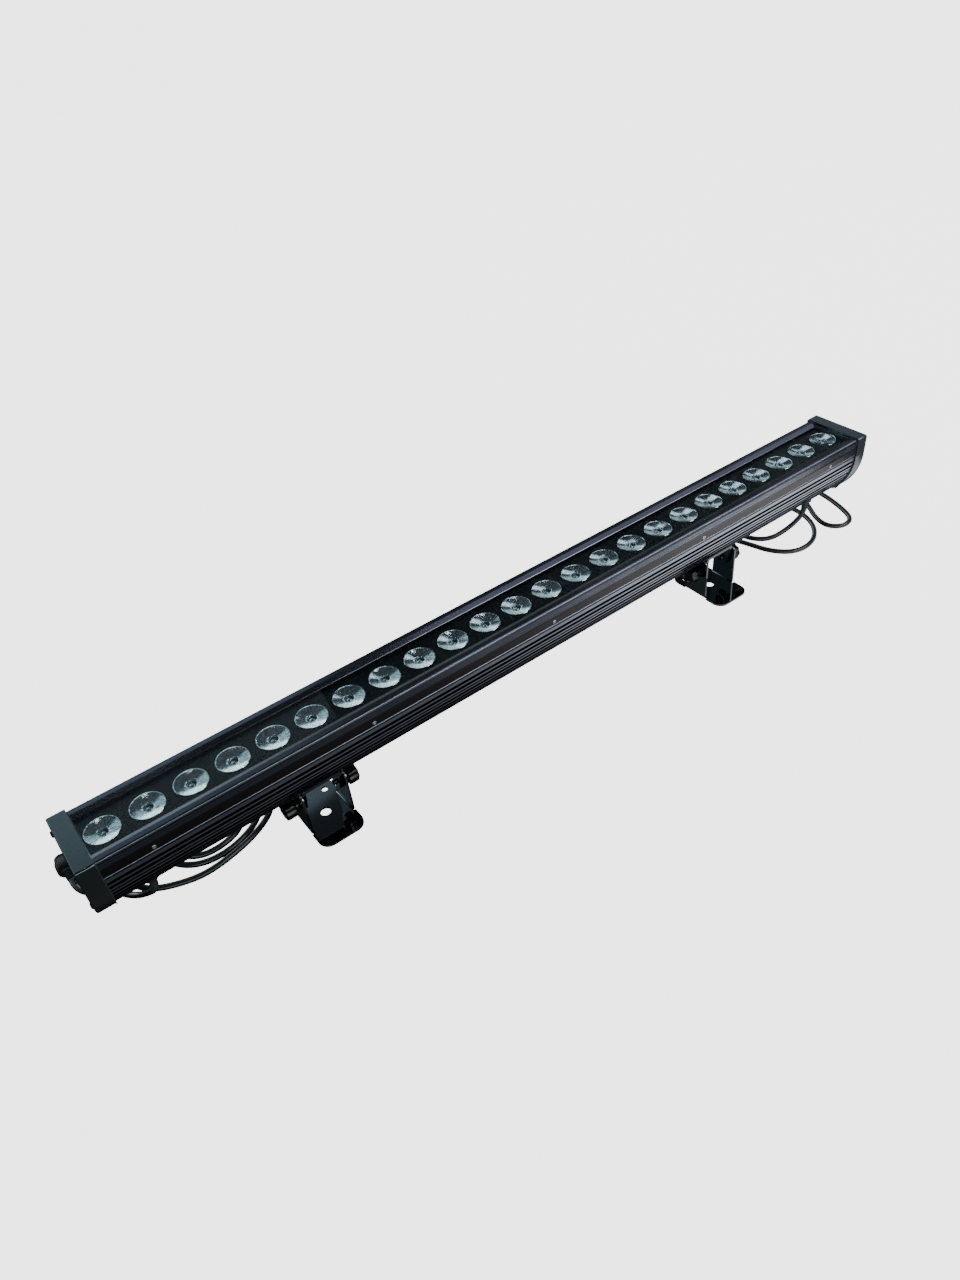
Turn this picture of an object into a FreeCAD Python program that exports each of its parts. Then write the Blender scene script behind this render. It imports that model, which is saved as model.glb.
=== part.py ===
import FreeCAD, Part
import math
import os

# Linear floodlight: a finned aluminium bar with a row of lenses under glass, on two swinging feet.
# X runs along the bar, Y across it and Z up. The feet stand on Z zero, under the middle of the bar.
# All sizes are in millimetres.

V = FreeCAD.Vector
ALONG = V(1, 0, 0)
ACROSS = V(0, 1, 0)
UP = V(0, 0, 1)
SIDES = (-1, 1)
HALF_TURN_SIN = math.sqrt(0.5)

# Whole bar
bar_length = 1000.0
bar_lift = 55.0
cut_overrun = 2.0
flat_gap = 0.3

# End caps
cap_width = 77.0
cap_height = 80.0
cap_length = 17.0
cap_corner = 2.0
cap_edge = 1.2
hull_straight = 24.0
hull_radius = 74.4
pocket_inset = 12.0
pocket_depth = 12.0
pocket_top_drop = 20.0
pocket_bottom_rise = 14.0
pocket_steps = 3
cap_gasket_thickness = 1.0
cap_gasket_inset = 5.0

# Finned housing section
section_inset = 1.7
section_bottom_rise = 2.5
fin_depth = 4.5
fin_tip_thickness = 2.2
fin_root_extra = 0.5
shoulder_drop = 22.2
shoulder_height = 6.4
shoulder_groove_drop = 2.0
shoulder_groove_width = 0.6
shoulder_groove_depth = 0.5
gap_upper = 3.6
gap_wide = 3.9
gap_narrow = 2.3
keel_steps = 5
wall_thickness = 2.5
chamber_floor_drop = 67.0
chamber_steps = 5

# Deck that carries the boards, and the channel over it
deck_drop = 30.0
deck_thickness = 3.0
channel_inset = 11.5
recess_inset = 7.0
ledge_drop = 9.8
skirt_gap = 0.3

# Cover rails along both upper edges
rail_drop = 1.8
rail_flange_drop = 4.4
rail_skirt_drop = 21.6
rail_skirt_thickness = 2.2
rail_edge_inset = 14.9
rail_bevel_inset = 9.2
rail_edge_chamfer = 0.4
rail_lip = 0.3
rail_corner_width = 1.9
rail_corner_drop = 2.1
rail_corner_mid_share = 0.7
rail_step_width = 0.6
rail_step_drop = 0.5
rail_step_height = 0.8
rail_band_drop = 13.8
rail_band_lean = 0.5
rail_foot_lean = 0.2
rail_groove_width = 0.6
rail_groove_depth = 0.4
rail_groove_first = 7.1
rail_groove_pitch = 2.85
rail_groove_count = 3

# Glass, seal and mask
glass_thickness = 3.0
glass_side_gap = 0.4
seal_thickness = 1.2
seal_width = 4.0
mask_thickness = 1.2
mask_hole_gap = 0.4

# Lens row and boards
lens_count = 24
lens_end_gap = 0.8
lens_radius_share = 0.3955
lens_base_radius = 7.0
lens_top_gap = 0.5
lens_sides = 16
board_count = 4
board_gap = 8.7
board_side_gap = 12.0
board_thickness = 1.6
package_size = 5.0
package_height = 1.5
lens_base_gap = 0.2

# Driver under the deck
driver_length = 320.0
driver_side_gap = 4.3
driver_height = 20.0
driver_lid_thickness = 1.5

# Screws that hold the caps
screw_sides = 8
cap_screw_head_radius = 3.2
cap_screw_head_height = 2.0
port_radius = 1.8
port_sides = 6
upper_port_inset = 7.9
upper_port_drop = 13.4
lower_port_inset = 11.4
lower_port_drop = 71.5

# Screws along the sides
side_screw_head_radius = 2.3
side_screw_head_height = 0.9
side_screw_seat_gap = 0.15
side_screw_drop = 18.7
side_screw_inset = 63.4
side_screw_count = 5

# Lug brackets under the bar
bracket_inset = 224.5
lug_thickness = 4.0
lug_half_depth = 13.0
lug_radius = 9.0
lug_bend = 6.0
lug_screw_spread = 18.0
lug_screw_head_radius = 4.2
lug_screw_head_height = 2.4

# Feet
foot_width = 50.0
foot_depth = 83.0
foot_thickness = 2.5
foot_corner = 12.0
foot_bend = 4.0
foot_hole_radius = 5.5
foot_rear_hole_radius = 3.4
foot_rear_hole_across = 14.0
foot_rear_hole_back = 27.0
ear_half_depth = 16.0
ear_relief = 1.6
ear_swing_gap = 1.0
pivot_height = 34.0
ear_lug_gap = 0.3

# Clamp bolts and knobs
bolt_radius = 3.0
bolt_hole_radius = 3.05
bolt_past_lug = 3.0
knob_neck_radius = 7.6
knob_neck_length = 4.2
knob_neck_sides = 12
knob_radius = 10.8
knob_length = 12.0
knob_sides = 8
knob_chamfer = 1.4

# Cable glands under both ends
gland_inset = 52.0
gland_base_radius = 9.6
gland_base_height = 3.0
gland_nut_radius = 8.6
gland_nut_height = 7.0
gland_sides = 6
gland_seal_top_radius = 4.6
gland_seal_end_radius = 3.4
gland_seal_length = 6.0
gland_seal_sides = 12

# Cords and their plugs
cord_radius = 2.9
cord_sides = 8
cord_drop = 11.5
cord_bend_share = 0.45
cord_sample = 2.0
cord_far_turns = 6.0
plug_tail_radius = 3.4
plug_nose_radius = 4.6
plug_nose_length = 12.0
plug_body_radius = 7.0
plug_body_length = 22.0
plug_ring_radius = 8.6
plug_ring_length = 15.0
plug_ring_bore_gap = 0.3
plug_ring_setback = 2.0
plug_ring_ribs = 18
plug_sides = 14
plug_rib_share = 0.92
plug_floor_gap = 0.1
plug_run = 14.0
left_plug_offset = (-60.0, 83.0)
right_plug_offset = (56.0, 74.0)

# Each cord drops from its gland, lies in loose loops under and behind the bar, and ends in its plug.
# Its places along the bar are measured from the gland.
left_cord_route = [
    (-7.0, 10.0, 19.0), (-17.0, 23.0, 9.5), (-29.0, 42.0, 3.2), (-36.0, 72.0, 3.2),
    (-28.0, 106.0, 3.2), (1.0, 128.0, 3.2), (44.0, 136.0, 3.2), (90.0, 130.0, 3.2),
    (126.0, 108.0, 3.2), (140.0, 72.0, 3.2), (134.0, 40.0, 3.2), (108.0, 22.0, 3.2),
    (76.0, 12.0, 3.2), (44.0, 8.0, 3.2), (16.0, 16.0, 3.2), (-4.0, 27.0, 3.2),
    (-16.0, 44.0, 3.2), (-18.0, 68.0, 3.2), (-10.0, 94.0, 3.2), (14.0, 114.0, 3.2),
    (48.0, 121.0, 3.2), (86.0, 114.0, 3.2), (114.0, 94.0, 3.2), (126.0, 64.0, 3.2),
    (118.0, 39.0, 3.2), (96.0, 25.0, 3.2), (70.0, 18.5, 3.2), (46.0, 22.0, 3.2),
    (28.0, 36.0, 3.2), (17.0, 60.0, 3.2), (24.0, 86.0, 3.2), (48.0, 101.0, 3.2),
    (78.0, 97.0, 3.2), (101.0, 79.0, 3.2), (107.0, 55.0, 3.2), (95.0, 36.5, 3.2),
    (72.0, 29.0, 3.2), (50.0, 31.0, 3.2), (34.0, 40.0, 9.0), (16.0, 45.0, 13.0),
    (-8.0, 47.0, 13.6), (-31.0, 46.0, 13.0), (-49.0, 52.0, 11.0)]
right_cord_route = [
    (-7.0, 4.0, 17.0), (-23.0, 7.0, 9.0), (-45.0, 12.0, 3.4), (-61.0, 26.0, 3.2),
    (-67.0, 50.0, 3.2), (-54.0, 76.0, 3.2), (-24.0, 89.0, 3.2), (9.0, 80.0, 3.2),
    (31.0, 53.0, 3.2), (30.0, 18.0, 3.2), (14.0, -12.0, 3.2), (-14.0, -30.0, 3.2),
    (-46.0, -29.0, 3.2), (-67.0, -6.0, 3.2), (-75.0, 28.0, 3.2), (-87.0, 62.0, 3.2),
    (-86.0, 100.0, 3.2), (-64.0, 130.0, 3.2), (-26.0, 146.0, 3.2), (16.0, 148.0, 3.2),
    (56.0, 136.0, 3.2), (83.0, 106.0, 3.2), (90.0, 66.0, 3.2), (86.0, 27.0, 3.2),
    (75.0, -10.0, 3.2), (63.0, -31.0, 3.2), (42.0, -33.0, 3.2), (28.5, -18.0, 3.2),
    (32.0, 3.0, 5.0), (42.0, 21.0, 8.0), (52.0, 39.0, 8.7)]


# Heights that follow from the sizes above
top_z = bar_lift + cap_height
knee_z = top_z - hull_straight
section_bottom_z = bar_lift + section_bottom_rise
section_half = bar_length / 2 - cap_length - cap_gasket_thickness
channel_half_width = cap_width / 2 - channel_inset
recess_half_width = cap_width / 2 - recess_inset
rail_inner_edge = cap_width / 2 - rail_edge_inset
rail_bevel_start = cap_width / 2 - rail_bevel_inset
lens_pitch = (section_half - lens_end_gap) / ((lens_count - 1) / 2 + lens_radius_share)
lens_radius = lens_pitch * lens_radius_share
board_pitch = lens_pitch * lens_count / board_count
board_length = board_pitch - board_gap
board_width = 2 * (channel_half_width - board_side_gap)
side_screw_pitch = (bar_length - 2 * side_screw_inset) / (side_screw_count - 1)
bracket_spacing = bar_length - 2 * bracket_inset
gland_from_middle = bar_length / 2 - gland_inset
ledge_z = top_z - ledge_drop
deck_z = top_z - deck_drop
glass_top_z = top_z - rail_flange_drop
glass_bottom_z = glass_top_z - glass_thickness
mask_top_z = glass_bottom_z - seal_thickness
mask_bottom_z = mask_top_z - mask_thickness
board_top_z = deck_z + board_thickness
package_top_z = board_top_z + package_height
rail_skirt_z = top_z - rail_skirt_drop
wall_outer = cap_width / 2 - section_inset - rail_skirt_thickness - skirt_gap
chamber_floor_z = top_z - chamber_floor_drop
upper_port_z = top_z - upper_port_drop
lower_port_z = top_z - lower_port_drop
lug_web_z = section_bottom_z - lug_thickness
ear_top_radius = section_bottom_z - ear_swing_gap - pivot_height
ear_outer = foot_width / 2
ear_inner = ear_outer - foot_thickness
lug_outer = ear_inner - ear_lug_gap
gland_nut_z = section_bottom_z - gland_base_height - gland_nut_height
gland_end_z = gland_nut_z - gland_seal_length
plug_z = plug_ring_radius + plug_floor_gap


def half_width(z, inset):
    """Half width of the hull at height z, measured inside the caps' outline by inset."""
    if z >= knee_z:
        return cap_width / 2 - inset
    drop = knee_z - z
    radius = hull_radius - inset
    return cap_width / 2 - hull_radius + math.sqrt(radius * radius - drop * drop)


def box(x0, x1, y0, y1, z0, z1):
    """Block between two corners."""
    return Part.makeBox(x1 - x0, y1 - y0, z1 - z0, V(x0, y0, z0))


def rod(radius, start, way, length):
    """Round bar from a start point."""
    return Part.makeCylinder(radius, length, V(*start), way)


def section_face(points):
    """Flat face across the bar from points (y, z)."""
    corners = [V(0, y, z) for y, z in points]
    return Part.Face(Part.makePolygon(corners + [corners[0]]))


def along_bar(face, x0, x1):
    """Carry a face across the bar from x0 to x1."""
    shape = face.extrude(V(x1 - x0, 0, 0))
    shape.translate(V(x0, 0, 0))
    return shape


def mirrored(points):
    """The same points on the other side of the bar."""
    return [(-y, z) for y, z in points]


def both_sides(points):
    """Closed outline from its right half, given from the top down."""
    return points + list(reversed(mirrored(points)))


def many_sided_outline(radius, sides, start, way):
    """Closed outline of equal straight sides round a start point, corners on the radius."""
    corners = []
    for step in range(sides + 1):
        angle = 2 * math.pi * (step + 1 / 2) / sides
        across = radius * math.cos(angle)
        other = radius * math.sin(angle)
        if way.x:
            offset = V(0, across, other)
        elif way.y:
            offset = V(across, 0, other)
        else:
            offset = V(across, other, 0)
        corners.append(V(*start) + offset)
    return Part.makePolygon(corners)


def many_sided(radius, sides, start, way, length):
    """Prism with equal flat sides."""
    return Part.Face(many_sided_outline(radius, sides, start, way)).extrude(way * length)


def tapered(radii, sides, start, way, length):
    """Prism with equal flat sides that narrows or widens from its first radius to its second."""
    end = V(*start) + way * length
    near = [corner.Point for corner in many_sided_outline(radii[0], sides, start, way).OrderedVertexes]
    far = [corner.Point for corner in many_sided_outline(radii[1], sides, end, way).OrderedVertexes]
    faces = [Part.Face(Part.makePolygon(ring + [ring[0]])) for ring in (near, far)]
    for place in range(sides):
        after = (place + 1) % sides
        faces.append(Part.Face(Part.makePolygon([near[place], near[after], far[after], far[place],
                                                 near[place]])))
    return Part.Solid(Part.Shell(faces))


def together(shapes):
    """Group of separate solids."""
    return Part.makeCompound(shapes)


def lens_places():
    """X of each lens along the bar."""
    return [lens_pitch * (place - (lens_count - 1) / 2) for place in range(lens_count)]


def hull_face(inset, top, bottom, corner):
    """Face of the hull outline with round upper corners and arc sides."""
    side = cap_width / 2 - inset
    foot = half_width(bottom, inset)
    middle_z = (knee_z + bottom) / 2
    middle = half_width(middle_z, inset)
    bend = corner * HALF_TURN_SIN
    edges = [
        Part.LineSegment(V(0, corner - side, top), V(0, side - corner, top)).toShape(),
        Part.Arc(V(0, side - corner, top), V(0, side - corner + bend, top - corner + bend),
                 V(0, side, top - corner)).toShape(),
        Part.LineSegment(V(0, side, top - corner), V(0, side, knee_z)).toShape(),
        Part.Arc(V(0, side, knee_z), V(0, middle, middle_z), V(0, foot, bottom)).toShape(),
        Part.LineSegment(V(0, foot, bottom), V(0, -foot, bottom)).toShape(),
        Part.Arc(V(0, -foot, bottom), V(0, -middle, middle_z), V(0, -side, knee_z)).toShape(),
        Part.LineSegment(V(0, -side, knee_z), V(0, -side, top - corner)).toShape(),
        Part.Arc(V(0, -side, top - corner), V(0, corner - side - bend, top - corner + bend),
                 V(0, corner - side, top)).toShape()]
    return Part.Face(Part.Wire(edges))


def pocket_face():
    """Straight sided face of the pocket behind each end cap."""
    top = top_z - pocket_top_drop
    bottom = bar_lift + pocket_bottom_rise
    points = []
    for step in range(pocket_steps + 1):
        z = top + (bottom - top) * step / pocket_steps
        points.append((half_width(z, pocket_inset), z))
    return section_face(both_sides(points))


def fin_gaps():
    """Upper and lower height of each open gap between the fins, from the top down."""
    gaps = []
    z = top_z - shoulder_drop - shoulder_height
    for height in (gap_upper, gap_wide, gap_narrow, gap_wide, gap_wide, gap_wide, gap_wide):
        gaps.append((z, z - height))
        z -= height + fin_tip_thickness
    return gaps


def housing_outline():
    """Right half of the finned section, from the top down."""
    shoulder_z = top_z - shoulder_drop
    groove_z = shoulder_z - shoulder_groove_drop
    points = [(recess_half_width, glass_top_z), (wall_outer, glass_top_z), (wall_outer, shoulder_z)]
    points.append((half_width(shoulder_z, section_inset), shoulder_z))
    points.append((half_width(groove_z, section_inset), groove_z))
    points.append((half_width(groove_z, section_inset + shoulder_groove_depth),
                   groove_z - shoulder_groove_width / 2))
    points.append((half_width(groove_z, section_inset), groove_z - shoulder_groove_width))
    for upper, lower in fin_gaps():
        points.append((half_width(upper, section_inset), upper))
        points.append((half_width(upper, section_inset + fin_depth), upper - fin_root_extra))
        points.append((half_width(lower, section_inset + fin_depth), lower + fin_root_extra))
        points.append((half_width(lower, section_inset), lower))
    keel_top = fin_gaps()[-1][1]
    for step in range(1, keel_steps + 1):
        z = keel_top + (section_bottom_z - keel_top) * step / keel_steps
        points.append((half_width(z, section_inset), z))
    return points


def chamber_outline():
    """Right half of the closed chamber under the deck, from the top down."""
    ceiling = deck_z - deck_thickness
    inset = section_inset + fin_depth + wall_thickness
    points = []
    for step in range(chamber_steps + 1):
        z = ceiling + (chamber_floor_z - ceiling) * step / chamber_steps
        points.append((half_width(z, inset), z))
    return points


def port_places():
    """Centres (y, z) of the screw ports that run through the section."""
    upper_across = cap_width / 2 - upper_port_inset
    lower_across = half_width(lower_port_z, 0) - lower_port_inset
    places = []
    for side in SIDES:
        places.append((side * upper_across, upper_port_z))
        places.append((side * lower_across, lower_port_z))
    return places


def build_housing():
    """Finned extrusion with the open lens channel, the deck, the closed chamber and screw ports."""
    face = section_face(both_sides(housing_outline()))
    recess = [(recess_half_width, top_z), (recess_half_width, ledge_z),
              (channel_half_width, ledge_z), (channel_half_width, deck_z)]
    face = face.cut(section_face(both_sides(recess)))
    face = face.cut(section_face(both_sides(chamber_outline())))
    body = along_bar(face, -section_half, section_half)
    ports = []
    for y, z in port_places():
        start = (-section_half - cut_overrun, y, z)
        ports.append(many_sided(port_radius, port_sides, start, ALONG,
                                2 * (section_half + cut_overrun)))
    return body.cut(together(ports))


def side_screw_places():
    """X of each screw along one side."""
    middle = (side_screw_count - 1) / 2
    return [side_screw_pitch * (place - middle) for place in range(side_screw_count)]


def lug_screw_places(side):
    """X of the two screws that hold one lug bracket."""
    middle = side * bracket_spacing / 2
    return [middle - lug_screw_spread / 2, middle + lug_screw_spread / 2]


def rail_outline():
    """Section of the cover rail on the right side, round from its foot."""
    outer = cap_width / 2 - section_inset
    inner = outer - rail_skirt_thickness
    rail_z = top_z - rail_drop
    corner_z = rail_z - rail_corner_drop
    step_z = corner_z - rail_step_drop
    band_top_z = step_z - rail_step_height
    band_z = top_z - rail_band_drop
    lean = rail_band_lean / (band_top_z - band_z)
    share = rail_corner_mid_share
    points = [(outer - rail_foot_lean, rail_skirt_z), (inner, rail_skirt_z), (inner, glass_top_z),
              (rail_inner_edge, glass_top_z), (rail_inner_edge, glass_top_z + rail_lip),
              (rail_inner_edge + rail_edge_chamfer, glass_top_z + rail_lip + rail_edge_chamfer),
              (rail_bevel_start, rail_z),
              (outer - rail_band_lean - rail_corner_width, rail_z),
              (outer - rail_band_lean - rail_corner_width * (1 - share),
               rail_z - rail_corner_drop * (1 - share)),
              (outer - rail_band_lean, corner_z), (outer - rail_band_lean, step_z),
              (outer - rail_band_lean - rail_step_width, step_z),
              (outer - rail_band_lean - rail_step_width, band_top_z),
              (outer - rail_band_lean, band_top_z)]
    for place in range(rail_groove_count):
        z = top_z - rail_groove_first - place * rail_groove_pitch
        y = outer - rail_band_lean + lean * (band_top_z - z)
        points.append((y, z + rail_groove_width / 2))
        points.append((y - rail_groove_depth, z))
        points.append((y, z - rail_groove_width / 2))
    points.append((outer, band_z))
    return points


def build_rail(side):
    """Cover rail that hooks over the glass and is screwed to the housing's side."""
    points = rail_outline()
    if side < 0:
        points = mirrored(points)
    rail = along_bar(section_face(points), -section_half, section_half)
    seats = []
    for start in side_screw_seats(side):
        seats.append(many_sided(side_screw_head_radius + side_screw_seat_gap, screw_sides, start,
                                ACROSS * side, side_screw_head_height + cut_overrun))
    return rail.cut(together(seats))


def side_screw_seats(side):
    """Bottom of each screw's sunk seat along one rail."""
    outer = cap_width / 2 - section_inset - rail_foot_lean
    y = side * (outer - side_screw_head_height)
    return [(x, y, top_z - side_screw_drop) for x in side_screw_places()]


def build_side_screws():
    """Heads of the small screws in both rails, as one group."""
    screws = []
    for side in SIDES:
        for start in side_screw_seats(side):
            screws.append(many_sided(side_screw_head_radius, screw_sides, start, ACROSS * side,
                                     side_screw_head_height))
    return together(screws)


def build_glass():
    """Clear cover glass."""
    half = recess_half_width - glass_side_gap
    return box(-section_half, section_half, -half, half, glass_bottom_z, glass_top_z)


def build_seals():
    """Flat rubber strips under both long edges of the glass."""
    half = recess_half_width - glass_side_gap
    strips = []
    for side in SIDES:
        y0, y1 = sorted((side * half, side * (half - seal_width)))
        strips.append(box(-section_half, section_half, y0, y1, mask_top_z, glass_bottom_z))
    return together(strips)


def build_mask():
    """Black mask with a round hole for each lens."""
    half = recess_half_width - glass_side_gap
    plate = box(-section_half, section_half, -half, half, mask_bottom_z, mask_top_z)
    holes = []
    for x in lens_places():
        holes.append(many_sided(lens_radius + mask_hole_gap, lens_sides,
                                (x, 0, mask_bottom_z - cut_overrun), UP,
                                mask_thickness + 2 * cut_overrun))
    return plate.cut(together(holes))


def build_lens(x):
    """Cone lens that stands over its light source and widens to its face under the glass."""
    base_z = package_top_z + lens_base_gap
    face_z = glass_bottom_z - lens_top_gap
    return tapered((lens_base_radius, lens_radius), lens_sides, (x, 0, base_z), UP, face_z - base_z)


def build_board(number):
    """One of the circuit boards in the row on the deck."""
    middle = board_pitch * (number - (board_count - 1) / 2)
    return box(middle - board_length / 2, middle + board_length / 2, -board_width / 2,
               board_width / 2, deck_z, board_top_z)


def build_packages():
    """Light source under each lens, as one group."""
    half = package_size / 2
    return together([box(x - half, x + half, -half, half, board_top_z, package_top_z)
                     for x in lens_places()])


def driver_block(top, thickness):
    """Block of the driver's width, a named gap inside the chamber's walls, down from a height."""
    lowest = deck_z - deck_thickness - driver_height - driver_lid_thickness
    half = half_width(lowest, section_inset + fin_depth + wall_thickness) - driver_side_gap
    return box(-driver_length / 2, driver_length / 2, -half, half, top - thickness, top)


def build_driver_case():
    """Driver case that hangs under the deck."""
    return driver_block(deck_z - deck_thickness, driver_height)


def build_driver_lid():
    """Cover plate on the underside of the driver case."""
    return driver_block(deck_z - deck_thickness - driver_height, driver_lid_thickness)


def build_cap(side):
    """End cap with a hull outline, soft outer edge and a pocket inside."""
    inner_x = bar_length / 2 - cap_length
    solid = along_bar(hull_face(0, top_z, bar_lift, cap_corner), inner_x, bar_length / 2)
    rim = [edge for edge in solid.Edges if edge.BoundBox.XMin > bar_length / 2 - flat_gap]
    solid = solid.makeChamfer(cap_edge, rim)
    solid = solid.cut(along_bar(pocket_face(), inner_x - cut_overrun, inner_x + pocket_depth))
    if side < 0:
        solid = solid.mirror(V(0, 0, 0), ALONG)
    return solid


def build_cap_gaskets():
    """Flat gaskets between the end caps and the housing, as one group."""
    plates = []
    outer = hull_face(cap_gasket_inset, ledge_z, section_bottom_z, cap_corner)
    for side in SIDES:
        x0, x1 = sorted((side * section_half, side * (section_half + cap_gasket_thickness)))
        plates.append(along_bar(outer.cut(pocket_face()), x0, x1))
    return together(plates)


def build_cap_screws():
    """Heads of the screws in both end caps, in line with the section's ports, as one group."""
    screws = []
    for side in SIDES:
        for y, z in port_places():
            screws.append(many_sided(cap_screw_head_radius, screw_sides,
                                     (side * bar_length / 2, y, z), ALONG * side,
                                     cap_screw_head_height))
    return together(screws)


def pivot_holes(middle, radius):
    """Cross holes through both ears or lugs of one bracket."""
    reach = ear_outer + cut_overrun
    return rod(radius, (middle - reach, 0, pivot_height), ALONG, 2 * reach)


def bent_strip(half_across, thickness, bend, top, bottom, depth, upward):
    """U shaped strip along X with round bends, open upward or downward."""
    sign = 1 if upward else -1
    base = bottom if upward else top
    tip = top if upward else bottom
    inner_bend = bend - thickness
    outer = half_across
    inner = half_across - thickness
    curve = bend * (1 - HALF_TURN_SIN)
    inner_curve = inner_bend * (1 - HALF_TURN_SIN)
    floor = base + sign * thickness
    edges = [
        Part.LineSegment(V(bend - outer, 0, base), V(outer - bend, 0, base)).toShape(),
        Part.Arc(V(outer - bend, 0, base), V(outer - curve, 0, base + sign * curve),
                 V(outer, 0, base + sign * bend)).toShape(),
        Part.LineSegment(V(outer, 0, base + sign * bend), V(outer, 0, tip)).toShape(),
        Part.LineSegment(V(outer, 0, tip), V(inner, 0, tip)).toShape(),
        Part.LineSegment(V(inner, 0, tip), V(inner, 0, floor + sign * inner_bend)).toShape(),
        Part.Arc(V(inner, 0, floor + sign * inner_bend),
                 V(inner - inner_curve, 0, floor + sign * inner_curve),
                 V(inner - inner_bend, 0, floor)).toShape(),
        Part.LineSegment(V(inner - inner_bend, 0, floor), V(inner_bend - inner, 0, floor)).toShape(),
        Part.Arc(V(inner_bend - inner, 0, floor),
                 V(inner_curve - inner, 0, floor + sign * inner_curve),
                 V(-inner, 0, floor + sign * inner_bend)).toShape(),
        Part.LineSegment(V(-inner, 0, floor + sign * inner_bend), V(-inner, 0, tip)).toShape(),
        Part.LineSegment(V(-inner, 0, tip), V(-outer, 0, tip)).toShape(),
        Part.LineSegment(V(-outer, 0, tip), V(-outer, 0, base + sign * bend)).toShape(),
        Part.Arc(V(-outer, 0, base + sign * bend), V(curve - outer, 0, base + sign * curve),
                 V(bend - outer, 0, base)).toShape()]
    strip = Part.Face(Part.Wire(edges)).extrude(V(0, 2 * depth, 0))
    strip.translate(V(0, -depth, 0))
    return strip


def lug_outline(side_reach):
    """Side view of the lugs: full depth at the web, tapered to the round end."""
    points = [(lug_half_depth, section_bottom_z), (lug_half_depth, section_bottom_z - lug_bend),
              (lug_radius, pivot_height)]
    taper = along_bar(section_face(both_sides(points)), -side_reach, side_reach)
    round_end = rod(lug_radius, (-side_reach, 0, pivot_height), ALONG, 2 * side_reach)
    return taper.fuse(round_end)


def build_lug_brackets():
    """Brackets under the bar whose lugs hang down inside the feet's ears, as one group."""
    brackets = []
    for side in SIDES:
        middle = side * bracket_spacing / 2
        strip = bent_strip(lug_outer, lug_thickness, lug_bend, section_bottom_z,
                           pivot_height - lug_radius, lug_half_depth, False)
        strip = strip.common(lug_outline(lug_outer + cut_overrun))
        strip.translate(V(middle, 0, 0))
        brackets.append(strip.cut(pivot_holes(middle, bolt_hole_radius)))
    return together(brackets)


def build_lug_screws():
    """Heads of the screws that hold both lug brackets to the bar, as one group."""
    screws = []
    for side in SIDES:
        for x in lug_screw_places(side):
            start = (x, 0, lug_web_z - lug_screw_head_height)
            screws.append(many_sided(lug_screw_head_radius, screw_sides, start, UP,
                                     lug_screw_head_height))
    return together(screws)


def rounded_plate(half_x, half_y, corner, z0, z1):
    """Flat plate with four round corners."""
    plate = box(-half_x, half_x, -half_y, half_y, z0, z1)
    upright = [edge for edge in plate.Edges if edge.BoundBox.ZLength > (z1 - z0) / 2]
    return plate.makeFillet(corner, upright)


def build_foot(side):
    """Foot with a flat plate on the ground and two ears bent up from its edges."""
    middle = side * bracket_spacing / 2
    plate = rounded_plate(foot_width / 2, foot_depth / 2, foot_corner, 0, foot_thickness)
    slot = ear_half_depth + ear_relief
    for edge in SIDES:
        x0, x1 = sorted((edge * (ear_outer - foot_bend), edge * (ear_outer + cut_overrun)))
        plate = plate.cut(box(x0, x1, -slot, slot, -cut_overrun, foot_thickness + cut_overrun))
    ear_top = pivot_height + ear_top_radius
    strip = bent_strip(ear_outer, foot_thickness, foot_bend, ear_top, 0, ear_half_depth, True)
    reach = ear_outer + cut_overrun
    lower = box(-reach, reach, -ear_half_depth, ear_half_depth, 0, pivot_height)
    upper = rod(ear_top_radius, (-reach, 0, pivot_height), ALONG, 2 * reach)
    strip = strip.common(lower.fuse(upper))
    foot = plate.fuse(strip).removeSplitter()
    drills = [(0, 0, foot_hole_radius), (-foot_rear_hole_across, foot_rear_hole_back,
              foot_rear_hole_radius), (foot_rear_hole_across, foot_rear_hole_back,
              foot_rear_hole_radius)]
    cuts = [rod(radius, (x, y, -cut_overrun), UP, foot_thickness + 2 * cut_overrun)
            for x, y, radius in drills]
    cuts.append(pivot_holes(0, bolt_hole_radius))
    foot = foot.cut(together(cuts))
    foot.translate(V(middle, 0, 0))
    return foot


def ear_face(side, end):
    """X of the outer face of one ear."""
    return side * bracket_spacing / 2 + end * ear_outer


def build_knob(side, end):
    """Eight sided hand knob with its neck and the stud that runs through the ear into the lug."""
    face = ear_face(side, end)
    grip_x = face + end * knob_neck_length
    neck = many_sided(knob_neck_radius, knob_neck_sides, (face, 0, pivot_height), ALONG * end,
                      knob_neck_length)
    grip = many_sided(knob_radius, knob_sides, (grip_x, 0, pivot_height), ALONG * end, knob_length)
    rims = [edge for edge in grip.Edges if edge.BoundBox.XLength < flat_gap]
    grip = grip.makeChamfer(knob_chamfer, rims)
    reach = foot_thickness + ear_lug_gap + lug_thickness + bolt_past_lug
    stud = rod(bolt_radius, (face - end * reach, 0, pivot_height), ALONG * end,
               reach + knob_neck_length)
    return grip.fuse([neck, stud])


def build_gland_bodies():
    """Hexagon bases of the glands on the keel, as one group."""
    bodies = []
    for side in SIDES:
        start = (side * gland_from_middle, 0, section_bottom_z - gland_base_height)
        bodies.append(many_sided(gland_base_radius, gland_sides, start, UP, gland_base_height))
    return together(bodies)


def build_gland_nuts():
    """Hexagon nuts under the gland bases, as one group."""
    nuts = []
    for side in SIDES:
        start = (side * gland_from_middle, 0, gland_nut_z)
        nuts.append(many_sided(gland_nut_radius, gland_sides, start, UP, gland_nut_height))
    return together(nuts)


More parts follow.
